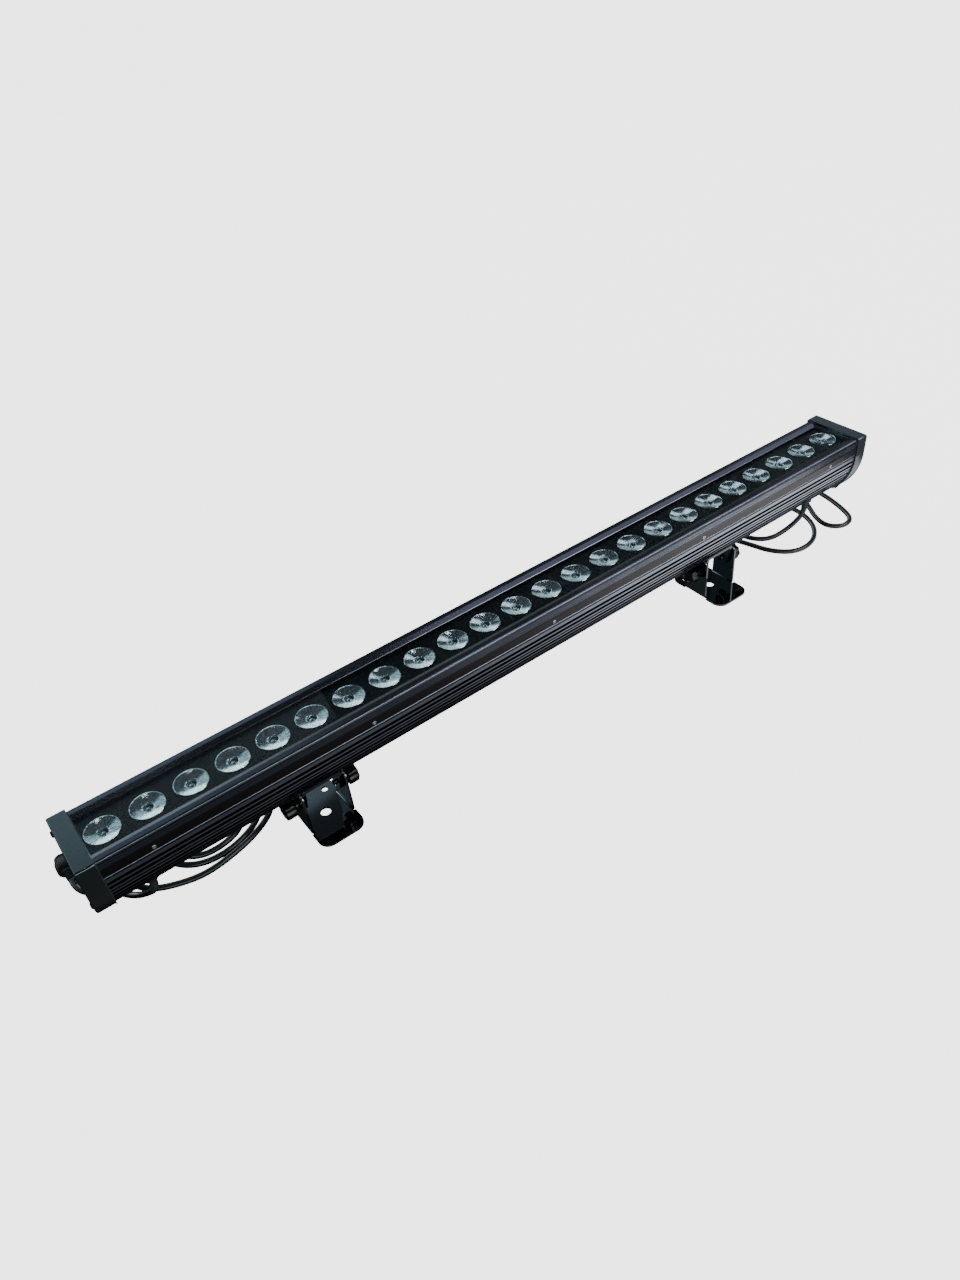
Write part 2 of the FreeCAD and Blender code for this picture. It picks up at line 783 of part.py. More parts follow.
def build_gland_seals():
    """Tapered rubber strain reliefs below the nuts, as one group."""
    seals = []
    for side in SIDES:
        start = (side * gland_from_middle, 0, gland_end_z)
        seals.append(tapered((gland_seal_end_radius, gland_seal_top_radius), gland_seal_sides,
                             start, UP, gland_seal_length))
    return together(seals)


def plug_place(side):
    """Where the cord of one end meets its plug."""
    along, across = left_plug_offset if side < 0 else right_plug_offset
    return side * gland_from_middle + along, across


def cord_points(side):
    """All the points of one cord: straight down from its gland, its route, straight into its plug."""
    x = side * gland_from_middle
    plug_x, plug_y = plug_place(side)
    route = left_cord_route if side < 0 else right_cord_route
    points = [(x, 0, gland_end_z), (x, 0, gland_end_z - cord_drop)]
    points += [(x + along, across, z) for along, across, z in route]
    points += [(plug_x, plug_y - plug_run, plug_z), (plug_x, plug_y, plug_z)]
    return [V(*point) for point in points]


def cord_bends(points):
    """Start, middle and end of the arc at each inner point, with its radius."""
    bends = []
    for before, here, after in zip(points, points[1:], points[2:]):
        run_in = here - before
        run_out = after - here
        back = min(run_in.Length, run_out.Length) * cord_bend_share
        half_turn = run_in.getAngle(run_out) / 2
        radius = back / math.tan(half_turn)
        way_in = run_in.normalize()
        way_out = run_out.normalize()
        middle = here + (way_out - way_in).normalize() * (radius / math.cos(half_turn) - radius)
        bends.append((here - way_in * back, middle, here + way_out * back, radius))
    return bends


def cord_path(points):
    """Unbroken path of straight runs joined by arcs that touch them."""
    edges = []
    place = points[0]
    for start, middle, end, radius in cord_bends(points):
        edges.append(Part.LineSegment(place, start).toShape())
        edges.append(Part.Arc(start, middle, end).toShape())
        place = end
    edges.append(Part.LineSegment(place, points[-1]).toShape())
    return Part.Wire(edges)


def least_gap(path):
    """Smallest space between turns of one cord, measured on points along its path."""
    count = int(path.Length / cord_sample)
    places = path.discretize(count)
    apart = int(cord_far_turns * cord_radius / cord_sample)
    least = path.Length
    for number, place in enumerate(places):
        for other in places[number + apart:]:
            least = min(least, place.distanceToPoint(other))
    return least - 2 * cord_radius


def build_cord(side):
    """One cord as a round tube, with its bend radii, volume and least gap printed."""
    points = cord_points(side)
    path = cord_path(points)
    ring = many_sided_outline(cord_radius, cord_sides, points[0], UP)
    tube = path.makePipeShell([ring], True, False)
    radii = [round(bend[3], 1) for bend in cord_bends(points)]
    expected = Part.Face(ring).Area * path.Length
    print("cord radii", radii)
    print("cord length", round(path.Length, 1), "volume share", round(tube.Volume / expected, 4),
          "least gap", round(least_gap(path), 2))
    return tube


def build_plugs():
    """Plug at the end of each cord, with a tapered nose and a round body, as one group."""
    plugs = []
    for side in SIDES:
        x, y = plug_place(side)
        nose = tapered((plug_tail_radius, plug_nose_radius), plug_sides, (x, y, plug_z), ACROSS,
                       plug_nose_length)
        body = many_sided(plug_body_radius, plug_sides, (x, y + plug_nose_length, plug_z), ACROSS,
                          plug_body_length)
        plugs.append(nose.fuse(body))
    return together(plugs)


def build_plug_rings():
    """Ribbed lock ring round the body of each plug, as one group."""
    rings = []
    for side in SIDES:
        x, y = plug_place(side)
        start = y + plug_nose_length + plug_ring_setback
        corners = []
        for step in range(2 * plug_ring_ribs + 1):
            angle = math.pi * (step - 1 / 2) / plug_ring_ribs
            radius = plug_ring_radius * (plug_rib_share if step % 2 else 1)
            corners.append(V(x + radius * math.sin(angle), start, plug_z + radius * math.cos(angle)))
        ring = Part.Face(Part.makePolygon(corners)).extrude(ACROSS * plug_ring_length)
        bore = many_sided(plug_body_radius + plug_ring_bore_gap, plug_sides,
                          (x, start - cut_overrun, plug_z), ACROSS,
                          plug_ring_length + 2 * cut_overrun)
        rings.append(ring.cut(bore))
    return together(rings)


def save(name, shape):
    """Write one named piece."""
    shape.exportStep("parts/" + name + ".step")


def build_bar():
    """All the pieces of the bar."""
    save("housing_extrusion", build_housing())
    save("front_cover_rail", build_rail(-1))
    save("rear_cover_rail", build_rail(1))
    save("side_screws", build_side_screws())
    save("cover_glass", build_glass())
    save("glass_seals", build_seals())
    save("mask_plate", build_mask())
    save("lenses", together([build_lens(x) for x in lens_places()]))
    for number in range(board_count):
        save("led_board_" + str(number + 1), build_board(number))
    save("led_packages", build_packages())
    save("driver_case", build_driver_case())
    save("driver_lid", build_driver_lid())
    save("cap_screws", build_cap_screws())
    save("gland_bodies", build_gland_bodies())
    save("gland_nuts", build_gland_nuts())
    save("gland_seals", build_gland_seals())
    save("cap_gaskets", build_cap_gaskets())
    save("lug_brackets", build_lug_brackets())
    save("lug_screws", build_lug_screws())
    save("cords", together([build_cord(side) for side in SIDES]))
    save("cord_plugs", build_plugs())
    save("plug_rings", build_plug_rings())


def build_end(word, side):
    """All the pieces that come once for each end of the bar."""
    save(word + "_end_cap", build_cap(side))
    save(word + "_foot_bracket", build_foot(side))
    for place, end in (("outer", side), ("inner", -side)):
        save(word + "_" + place + "_knob", build_knob(side, end))


os.makedirs("parts", exist_ok=True)
build_bar()
build_end("left", -1)
build_end("right", 1)
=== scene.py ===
import logging
import math
from dataclasses import dataclass
from enum import Enum

import bmesh
import bpy
from mathutils import Matrix, Vector


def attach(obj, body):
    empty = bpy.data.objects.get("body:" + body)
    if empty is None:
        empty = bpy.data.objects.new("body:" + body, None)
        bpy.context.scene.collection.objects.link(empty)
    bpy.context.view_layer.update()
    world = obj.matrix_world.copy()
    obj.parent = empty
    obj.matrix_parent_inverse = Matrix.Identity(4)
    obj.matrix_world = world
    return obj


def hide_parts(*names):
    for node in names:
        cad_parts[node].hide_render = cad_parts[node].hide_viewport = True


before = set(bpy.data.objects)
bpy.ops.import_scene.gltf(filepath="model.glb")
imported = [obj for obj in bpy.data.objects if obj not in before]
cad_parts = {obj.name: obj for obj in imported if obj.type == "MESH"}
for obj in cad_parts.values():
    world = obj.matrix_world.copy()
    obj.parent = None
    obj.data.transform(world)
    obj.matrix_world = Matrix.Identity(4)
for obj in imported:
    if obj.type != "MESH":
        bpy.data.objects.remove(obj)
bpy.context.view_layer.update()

LOG = logging.getLogger("floodlight")
Point = tuple[float, float, float]
Colour = tuple[float, float, float]
Pair = tuple[float, float]
Profile = tuple[Pair, ...]
Ramp = tuple[float, float, float, float]

MM = 0.001
QUARTER_TURN = math.pi / 2
WELD_DISTANCE = 0.00001

# The lens row: number of lenses and the millimetres between them
LENS_COUNT = 24
LENS_PITCH = 40.4523

# The section's outer faces, in metres: arcs round axes past its middle plane, and the gap
# under the lips that carry the cover rails. The grooves that lie inside these faces, and that
# gap, get painted shade
ARC_RADIUS = 0.0727
ARC_HEIGHT = 0.111
ARC_SHIFT = 0.0359
LIP_GAP = (0.1107, 0.1123)

# Tones and ranges that the finishes share
DUST_TONE = (0.16, 0.165, 0.17)
# Painted shade in the grooves between the fins and in the gap under the lips
GROOVE_SHADE_TONE = (0.02, 0.021, 0.026)
# Painted shade on a leaning face, and the X over which it fades out towards the left end
SLOPE_SHADE_TONE = (0.012, 0.014, 0.016)
SLOPE_SHADE_FADE = (-0.42, -0.25)
FINE_SHARE: Ramp = (0.3, 0.7, 0.0, 0.6)
CLOUD_SHARE: Ramp = (0.35, 0.65, 0.0, 0.4)
CLOUD_SPAN = (0.3, 0.7)
COAT_ROUGHNESS = 0.08

# Brightness of the floor and the room as the camera sees them
PAPER = 3.4


class Body(Enum):
    """Bodies that pieces ride on."""

    HOUSING = "housing"
    LEFT_OUTER = "left_outer_clamp"
    LEFT_INNER = "left_inner_clamp"
    RIGHT_OUTER = "right_outer_clamp"
    RIGHT_INNER = "right_inner_clamp"


class Side(Enum):
    """Ends of the bar, with the sign of their X."""

    LEFT = -1
    RIGHT = 1


class Facing(Enum):
    """Faces that screws sit in, with the place of their axis in a point."""

    END = 0
    FLANK = 1


# Shader helpers and shared node groups


class Tree:
    """Short calls to add, fill and link nodes in one node tree."""

    def __init__(self, tree: bpy.types.NodeTree) -> None:
        """Wrap the tree of a material, a world or a group."""
        self.tree = tree

    def fill(self, node: bpy.types.Node, values: dict[str | int, object]) -> None:
        """Set or link inputs of a node.

        Args:
            node: The node.
            values: Socket, number, vector or colour for each input, by name or place.
        """
        for label, value in values.items():
            socket = node.inputs[label]
            if isinstance(value, bpy.types.NodeSocket):
                self.tree.links.new(value, socket)
            elif socket.type == "RGBA":
                socket.default_value = (*value, 1.0)
            else:
                socket.default_value = value

    def node(self, kind: str, values: dict[str | int, object] | None = None,
             **settings: object) -> bpy.types.Node:
        """Add a node.

        Args:
            kind: The node's type name without its ShaderNode prefix.
            values: Socket, number, vector or colour for each input.
            settings: Attributes to set on the node.

        Returns:
            The new node.
        """
        made = self.tree.nodes.new("ShaderNode" + kind)
        for name, value in settings.items():
            setattr(made, name, value)
        self.fill(made, values or {})
        return made

    def position(self, kind: str = "Object") -> bpy.types.NodeOutputs:
        """Split the place of each shaded point into its coordinates.

        Args:
            kind: Coordinates to read.

        Returns:
            Sockets named X, Y and Z.
        """
        return self.node("SeparateXYZ", {0: self.node("TexCoord").outputs[kind]}).outputs

    def maths(self, operation: str, first: object, second: object = 0.0) -> bpy.types.NodeSocket:
        """Add a math node.

        Args:
            operation: Blender's name of the operation.
            first: Socket or number.
            second: Socket or number.

        Returns:
            The node's output socket.
        """
        return self.node("Math", {0: first, 1: second}, operation=operation).outputs[0]

    def between(self, value: bpy.types.NodeSocket, low: float, high: float,
                to_low: float = 0.0, to_high: float = 1.0) -> bpy.types.NodeSocket:
        """Carry a value from one range to another, held at both ends.

        Args:
            value: Socket to read.
            low: Value that gives to_low.
            high: Value that gives to_high.
            to_low: Result at low.
            to_high: Result at high.

        Returns:
            The result's socket.
        """
        return self.node("MapRange", {"Value": value, "From Min": low, "From Max": high,
                                      "To Min": to_low, "To Max": to_high},
                         interpolation_type="SMOOTHSTEP").outputs["Result"]

    def blend(self, factor: object, first: object, second: object) -> bpy.types.NodeSocket:
        """Mix two colours.

        Args:
            factor: Socket or number.
            first: Socket or colour at factor zero.
            second: Socket or colour at factor one.

        Returns:
            The mixed colour's socket.
        """
        return self.node("Mix", {0: factor, 6: first, 7: second}, data_type="RGBA").outputs[2]


def new_material(name: str) -> tuple[bpy.types.Material, Tree, bpy.types.Node]:
    """Start a material.

    Args:
        name: The material's name.

    Returns:
        The material, its tree and its shader.
    """
    made = bpy.data.materials.new(name)
    made.use_nodes = True
    return made, Tree(made.node_tree), made.node_tree.nodes["Principled BSDF"]


def new_group(name: str, inputs: dict[str, tuple[str, object]],
              outputs: dict[str, str]) -> tuple[Tree, bpy.types.Node, bpy.types.Node]:
    """Start a shader node group.

    Args:
        name: The group's name.
        inputs: Socket type and default of each input.
        outputs: Socket type of each output.

    Returns:
        The group's tree, its input node and its output node.
    """
    group = bpy.data.node_groups.new(name, "ShaderNodeTree")
    for label, (kind, default) in inputs.items():
        socket = group.interface.new_socket(label, in_out="INPUT", socket_type=kind)
        socket.default_value = default
    for label, kind in outputs.items():
        group.interface.new_socket(label, in_out="OUTPUT", socket_type=kind)
    return Tree(group), group.nodes.new("NodeGroupInput"), group.nodes.new("NodeGroupOutput")


class Effects:
    """Node groups that several finishes share."""

    def __init__(self) -> None:
        """Build every group once."""
        self.grain = self._grain()
        self.dust = self._dust()
        self.grooves = self._groove_shade()

    @staticmethod
    def _grain() -> bpy.types.NodeTree:
        """Fine grain with soft cloudiness over it.

        Returns:
            Group with outputs Fine, Cloud and Normal.
        """
        tree, start, end = new_group(
            "surface_grain",
            {"Scale": ("NodeSocketFloat", 900.0), "Stretch": ("NodeSocketVector", (1.0, 1.0, 1.0)),
             "Depth": ("NodeSocketFloat", 0.2)},
            {"Fine": "NodeSocketFloat", "Cloud": "NodeSocketFloat", "Normal": "NodeSocketVector"})
        place = tree.node("TexCoord").outputs["Object"]
        stretched = tree.node("VectorMath", {0: place, 1: start.outputs["Stretch"]},
                              operation="MULTIPLY")
        fine = tree.node("TexNoise", {"Vector": stretched.outputs[0], "Detail": 3.0,
                                      "Scale": start.outputs["Scale"], "Roughness": 0.6})
        cloud = tree.node("TexNoise", {"Vector": place, "Scale": 9.0, "Detail": 2.0})
        bump = tree.node("Bump", {"Strength": start.outputs["Depth"], "Distance": 0.00005,
                                  "Height": fine.outputs[0]})
        tree.fill(end, {"Fine": fine.outputs[0], "Cloud": cloud.outputs[0],
                        "Normal": bump.outputs[0]})
        return tree.tree

    @staticmethod
    def _dust() -> bpy.types.NodeTree:
        """Small scattered specks that gather in patches.

        Returns:
            Group with output Mask.
        """
        tree, start, end = new_group(
            "dust_specks",
            {"Scale": ("NodeSocketFloat", 260.0), "Size": ("NodeSocketFloat", 0.12)},
            {"Mask": "NodeSocketFloat"})
        place = tree.node("TexCoord").outputs["Object"]
        cells = tree.node("TexVoronoi", {"Vector": place, "Scale": start.outputs["Scale"]})
        chance = tree.node("TexWhiteNoise", {"Vector": cells.outputs["Position"]},
                           noise_dimensions="3D")
        patches = tree.node("TexNoise", {"Vector": place, "Scale": 14.0})
        size = tree.maths("MULTIPLY", start.outputs["Size"],
                          tree.between(chance.outputs["Value"], low=0.72, high=1.0))
        size = tree.maths("MULTIPLY", size, tree.between(patches.outputs[0], low=0.35, high=0.65))
        tree.fill(end, {"Mask": tree.maths("LESS_THAN", cells.outputs["Distance"], size)})
        return tree.tree

    @staticmethod
    def _groove_shade() -> bpy.types.NodeTree:
        """Painted shade: places that lie deeper than the finned section's outer faces, and the gap
        under the lips.

        Returns:
            Group with output Mask.
        """
        tree, start, end = new_group("fin_groove_shade", {"Depth": ("NodeSocketFloat", 0.0009)},
                                     {"Mask": "NodeSocketFloat"})
        place = tree.position()
        drop = tree.maths("MAXIMUM", tree.maths("SUBTRACT", ARC_HEIGHT, place["Z"]), 0.0)
        face = tree.maths("SQRT", tree.maths("SUBTRACT", ARC_RADIUS ** 2,
                                             tree.maths("MULTIPLY", drop, drop)))
        face = tree.maths("SUBTRACT", tree.maths("SUBTRACT", face, ARC_SHIFT),
                          start.outputs["Depth"])
        deep = tree.maths("LESS_THAN", tree.maths("ABSOLUTE", place["Y"]), face)
        under_lip = tree.maths("MULTIPLY", tree.maths("GREATER_THAN", place["Z"], LIP_GAP[0]),
                               tree.maths("LESS_THAN", place["Z"], LIP_GAP[1]))
        tree.fill(end, {"Mask": tree.maths("MAXIMUM", deep, under_lip)})
        return tree.tree


# Finishes


@dataclass(frozen=True)
class Finish:
    """An opaque finish: two tones, roughness range, grain and dust, with painted shade where
    asked.

    Args:
        name: Material name.
        slot: The record's material slot; not used.
        nodes: CAD nodes that wear it.
        dark: Base colour in the grain's hollows.
        light: Base colour on the grain's tops.
        rough: Lowest and highest roughness.
        scale: Scale of the grain.
        stretch: Stretch of the grain along each axis.
        depth: Strength of the grain's bump.
        dust: Size of dust specks, zero for none.
        metallic: Metallic share.
        specular: Specular level.
        coat: Weight of a clear coat.
        low_shade_tone: Colour that the base is multiplied by low on the piece, a painted shade.
        low_shade_turn: Heights in metres between which that painted shade gives way to the base,
            if any.
        shaded_slope: Lowest and highest Y in metres of a leaning face that gets painted shade, if
            any.
        grooved: Whether the grooves between the fins and the gap under the lips get painted shade,
            darker than the fins' tips.
    """

    name: str
    slot: str
    nodes: tuple[str, ...]
    dark: Colour
    light: Colour
    rough: Pair
    scale: float = 900.0
    stretch: Point = (1.0, 1.0, 1.0)
    depth: float = 0.2
    dust: float = 0.0
    metallic: float = 0.0
    specular: float = 0.5
    coat: float = 0.0
    low_shade_tone: Colour = (1.0, 1.0, 1.0)
    low_shade_turn: Pair = (0.0, 0.0)
    shaded_slope: Pair = (0.0, 0.0)
    grooved: bool = False

    def _paint_low_shade(self, tree: Tree, colour: bpy.types.NodeSocket) -> bpy.types.NodeSocket:
        """Paint shade on the low part of the piece, as a darker, warmer tone, and on its leaning
        face.

        Args:
            tree: The material's tree.
            colour: The base colour.

        Returns:
            The new base colour.
        """
        place = tree.position()
        # Painted shade: the low part takes a darker, warmer tone
        low = tuple(tone * share for tone, share in zip(self.light, self.low_shade_tone))
        colour = tree.blend(tree.between(place["Z"], *self.low_shade_turn), low, colour)
        # Painted shade on the leaning face, fading out towards the left end
        leaning = tree.maths("MULTIPLY",
                             tree.maths("GREATER_THAN", place["Y"], self.shaded_slope[0]),
                             tree.maths("LESS_THAN", place["Y"], self.shaded_slope[1]))
        leaning = tree.maths("MULTIPLY", leaning, tree.between(place["X"], *SLOPE_SHADE_FADE))
        return tree.blend(leaning, colour, SLOPE_SHADE_TONE)

    def build(self, effects: Effects) -> bpy.types.Material:
        """Make the material.

        Args:
            effects: The shared node groups.

        Returns:
            The new material.
        """
        made, tree, shader = new_material(self.name)
        grain = tree.node("Group", {"Scale": self.scale, "Stretch": self.stretch,
                                    "Depth": self.depth}, node_tree=effects.grain).outputs
        share = tree.maths("ADD", tree.between(grain["Fine"], *FINE_SHARE),
                           tree.between(grain["Cloud"], *CLOUD_SHARE))
        colour = tree.blend(share, self.dark, self.light)
        if self.low_shade_turn[1] > 0:
            colour = self._paint_low_shade(tree, colour)
        if self.grooved:
            grooves = tree.node("Group", node_tree=effects.grooves)
            # Painted shade in the grooves and in the gap under the lips
            colour = tree.blend(grooves.outputs["Mask"], colour, GROOVE_SHADE_TONE)
        if self.dust > 0:
            specks = tree.node("Group", {"Size": self.dust}, node_tree=effects.dust)
            colour = tree.blend(specks.outputs["Mask"], colour, DUST_TONE)
        tree.fill(shader, {"Base Color": colour,
                           "Roughness": tree.between(grain["Cloud"], *CLOUD_SPAN, *self.rough),
                           "Normal": grain["Normal"], "Metallic": self.metallic,
                           "Specular IOR Level": self.specular, "Coat Weight": self.coat,
                           "Coat Roughness": COAT_ROUGHNESS})
        return made


@dataclass(frozen=True)
class CoverGlassFinish:
    """Thin clear glass that lets light through, with faint dust.

    Args:
        name: Material name.
        slot: The record's material slot; not used.
        nodes: CAD nodes that wear it.
        tint: Colour of the clean glass.
        speck_tone: Colour of the dust.
        speck_size: Size of the dust specks.
        speck_scale: Scale of their pattern.
        speck_clear: Share of light that a speck lets through.
        haze_scale: Scale of the changes in roughness.
        haze: Range of grain values and the roughness at each end.
        ior: Refraction, low as for a thin pane.
    """

    name: str = "cover_glass"
    slot: str = "clear_glass"
    nodes: tuple[str, ...] = ("cover_glass",)
    tint: Colour = (0.94, 0.98, 0.98)
    speck_tone: Colour = (0.75, 0.8, 0.8)
    speck_size: float = 0.02
    speck_scale: float = 330.0
    speck_clear: float = 0.2
    haze_scale: float = 60.0
    haze: Ramp = (0.4, 0.7, 0.0, 0.015)
    ior: float = 1.2

    def build(self, effects: Effects) -> bpy.types.Material:
        """Make the material.

        Args:
            effects: The shared node groups.

        Returns:
            The new material.
        """
        made, tree, shader = new_material(self.name)
        specks = tree.node("Group", {"Size": self.speck_size, "Scale": self.speck_scale},
                           node_tree=effects.dust).outputs["Mask"]
        grain = tree.node("Group", {"Scale": self.haze_scale}, node_tree=effects.grain)
        tree.fill(shader, {
            "Base Color": tree.blend(specks, self.tint, self.speck_tone),
            "Roughness": tree.between(grain.outputs["Fine"], *self.haze),
            "Transmission Weight": tree.between(specks, 0.0, 1.0, 1.0, self.speck_clear),
            "IOR": self.ior})
        path = tree.node("LightPath").outputs
        passing = tree.maths("MAXIMUM", path["Is Shadow Ray"], path["Is Diffuse Ray"])
        mix = tree.node("MixShader", {0: passing, 1: shader.outputs[0],
                                      2: tree.node("BsdfTransparent").outputs[0]})
        tree.fill(made.node_tree.nodes["Material Output"], {"Surface": mix.outputs[0]})
        return made


@dataclass(frozen=True)
class LensFinish:
    """Silvery moulded lens with fine streaks that run out from each lens's middle.

    Args:
        name: Material name.
        slot: The record's material slot; not used.
        nodes: CAD nodes that wear it.
        streak_turn: Pattern units for each radian round a lens.
        streak_run: Pattern units for each metre out from its middle.
        streak_bump: Strength of the streaks' bump.
        contrast: Pattern values between which dark turns to light.
        gloss: Range of pattern values and the roughness at each end.
        dark: Colour between the streaks.
        light: Colour of the streaks.
        well_shade_tone: Darker colour inside the well, painted shade.
        well_edge: Radii in metres between which the well gives way to the cone.
    """

    name: str = "lens_silver"
    slot: str = "clear_lens"
    nodes: tuple[str, ...] = ("lenses",)
    streak_turn: float = 9.0
    streak_run: float = 130.0
    streak_bump: float = 0.09
    contrast: Pair = (0.4, 0.6)
    gloss: Ramp = (0.35, 0.75, 0.04, 0.12)
    dark: Colour = (0.3, 0.38, 0.41)
    light: Colour = (0.88, 0.99, 1.0)
    well_shade_tone: Colour = (0.42, 0.5, 0.53)
    well_edge: Pair = (0.0042, 0.0046)

    def build(self, _: Effects) -> bpy.types.Material:
        """Make the material.

        Args:
            _: The shared node groups, which a lens doesn't use.

        Returns:
            The new material.
        """
        made, tree, shader = new_material(self.name)
        place = tree.position()
        pitch = LENS_PITCH * MM
        along = tree.maths("ADD", place["X"], pitch * LENS_COUNT / 2)
        along = tree.maths("SUBTRACT", tree.maths("MODULO", along, pitch), pitch / 2)
        angle = tree.maths("ARCTAN2", place["Y"], along)
        flat = tree.node("CombineXYZ", {0: along, 1: place["Y"]})
        reach = tree.node("VectorMath", {0: flat.outputs[0]}, operation="LENGTH").outputs["Value"]
        fan = tree.node("CombineXYZ", {
            0: tree.maths("MULTIPLY", angle, self.streak_turn),
            1: tree.maths("MULTIPLY", reach, self.streak_run),
            2: tree.maths("FLOOR", tree.maths("DIVIDE", place["X"], pitch))})
        streaks = tree.node("TexNoise", {"Vector": fan.outputs[0], "Scale": 2.2, "Detail": 4.0,
                                         "Roughness": 0.7}).outputs[0]
        bump = tree.node("Bump", {"Strength": self.streak_bump, "Distance": 0.0004,
                                  "Height": streaks})
        cone = tree.blend(tree.between(streaks, *self.contrast), self.dark, self.light)
        tree.fill(shader, {
            # Painted shade: the well takes a plain, darker tone
            "Base Color": tree.blend(tree.between(reach, *self.well_edge), self.well_shade_tone, cone),
            "Roughness": tree.between(streaks, *self.gloss),
            "Normal": bump.outputs[0], "Metallic": 1.0})
        return made


class Look(Enum):
    """Every finish of the light, by what it dresses."""

    # The section's grooves and the gap under its lips get painted shade
    SECTION = Finish(
        "section_anodised", "black_anodised", ("housing_extrusion",), (0.26, 0.285, 0.36),
        (0.38, 0.415, 0.51), (0.18, 0.25), stretch=(0.05, 1.0, 1.0), depth=0.012, dust=0.03,
        metallic=1.0, grooved=True)
    # Lighter metal on the rounded edges: a painted highlight
    HIGHLIGHT_EDGE = Finish(
        "edge_highlight", "black_anodised", (), (0.32, 0.33, 0.36), (0.48, 0.5, 0.54),
        (0.3, 0.38), stretch=(0.06, 1.0, 1.0), depth=0.01, metallic=1.0)
    # The rails' low band and the front rail's leaning inner face get painted shade
    RAIL = Finish(
        "rail_anodised", "black_anodised", ("front_cover_rail", "rear_cover_rail"),
        (0.1, 0.108, 0.134), (0.145, 0.157, 0.192), (0.17, 0.22), stretch=(0.04, 1.0, 1.0),
        depth=0.01, dust=0.02, metallic=1.0, low_shade_tone=(0.42, 0.37, 0.33),
        low_shade_turn=(0.1228, 0.1242), shaded_slope=(-0.0297, -0.0233))
    CAP = Finish(
        "cap_coat", "cap_black", ("left_end_cap", "right_end_cap"), (0.11, 0.13, 0.138),
        (0.165, 0.195, 0.205), (0.18, 0.26), 1500.0, depth=0.08, dust=0.03, metallic=1.0)
    FOOT = Finish(
        "foot_gloss", "bracket_black",
        ("left_foot_bracket", "right_foot_bracket", "lug_brackets"), (0.1, 0.112, 0.12),
        (0.14, 0.155, 0.165), (0.04, 0.07), 420.0, depth=0.02, dust=0.06, metallic=1.0)
    KNOB = Finish(
        "knob_worn", "knob_metal",
        ("left_outer_knob", "left_inner_knob", "right_outer_knob", "right_inner_knob"),
        (0.025, 0.025, 0.026), (0.06, 0.058, 0.056), (0.12, 0.25), 700.0, (0.3, 1.0, 1.0),
        metallic=1.0)
    RUBBER = Finish(
        "seal_rubber", "rubber_black", ("glass_seals", "cap_gaskets", "gland_seals"),
        (0.016, 0.018, 0.020), (0.03, 0.03, 0.03), (0.6, 0.75), 1100.0, depth=0.4)
    MASK = Finish(
        "mask_sheet", "mask_black", ("mask_plate",), (0.003, 0.005, 0.006),
        (0.005, 0.008, 0.009), (0.2, 0.3), 1200.0, depth=0.03, dust=0.02, specular=0.2)
    BOARD = Finish(
        "board_mask", "board_white",
        ("led_board_1", "led_board_2", "led_board_3", "led_board_4"), (0.75, 0.77, 0.76),
        (0.86, 0.87, 0.85), (0.35, 0.45), 500.0)
    PHOSPHOR = Finish(
        "phosphor_gel", "led_yellow", ("led_packages",), (0.82, 0.7, 0.22), (0.95, 0.86, 0.4),
        (0.15, 0.25), 800.0)
    ALLOY = Finish(
        "driver_sheet", "driver_alloy", ("driver_case", "driver_lid"), (0.42, 0.43, 0.44),
        (0.6, 0.61, 0.62), (0.25, 0.4), stretch=(0.08, 1.0, 1.0), depth=0.3, metallic=1.0)
    STEEL = Finish(
        "screw_steel", "screw_steel", ("side_screws",), (0.5, 0.5, 0.51), (0.75, 0.75, 0.76),
        (0.15, 0.3), 1200.0, metallic=1.0)
    DARK_SCREW = Finish(
        "screw_blackened", "screw_black", ("cap_screws", "lug_screws"), (0.02, 0.02, 0.022),
        (0.05, 0.05, 0.055), (0.25, 0.4), metallic=0.6)
    NYLON = Finish(
        "gland_nylon", "gland_black", ("gland_bodies", "gland_nuts"), (0.012, 0.012, 0.013),
        (0.024, 0.024, 0.025), (0.4, 0.55), 800.0, depth=0.3)
    JACKET = Finish(
        "cord_jacket", "cord_black", ("cords",), (0.004, 0.005, 0.006), (0.010, 0.0115, 0.013),
        (0.22, 0.32), 700.0, depth=0.1, dust=0.03, coat=0.4)
    PLUG = Finish(
        "plug_moulded", "plug_black", ("cord_plugs", "plug_rings"), (0.010, 0.011, 0.012),
        (0.022, 0.023, 0.024), (0.3, 0.42), depth=0.3, specular=0.18)
    SEALANT = Finish(
        "cap_sealant", "rubber_black", (), (0.03, 0.04, 0.046), (0.09, 0.11, 0.125),
        (0.12, 0.25), 260.0, depth=0.3, specular=0.7)
    GLASS = CoverGlassFinish()
    LENS = LensFinish()


# Mesh helpers


def put(name: str, data: bpy.types.ID) -> bpy.types.Object:
    """Put new data into the scene.

    Args:
        name: Object name.
        data: Mesh, curve, light or camera.

    Returns:
        The new object.
    """
    made = bpy.data.objects.new(name, data)
    bpy.context.scene.collection.objects.link(made)
    return made


def mesh_piece(name: str, mesh: bmesh.types.BMesh, material: bpy.types.Material,
               smooth_angle: float = 40.0) -> bpy.types.Object:
    """Turn a bmesh into an object of the scene.

    Args:
        name: Object name.
        mesh: The mesh, which is freed.
        material: Its material.
        smooth_angle: Edges sharper than this many degrees stay sharp.

    Returns:
        The new object.
    """
    bmesh.ops.recalc_face_normals(mesh, faces=mesh.faces)
    limit = math.radians(smooth_angle)
    for edge in mesh.edges:
        edge.smooth = not (edge.is_manifold and edge.calc_face_angle(0.0) > limit)
    for face in mesh.faces:
        face.smooth = True
    data = bpy.data.meshes.new(name)
    mesh.to_mesh(data)
    mesh.free()
    data.materials.append(material)
    return put(name, data)


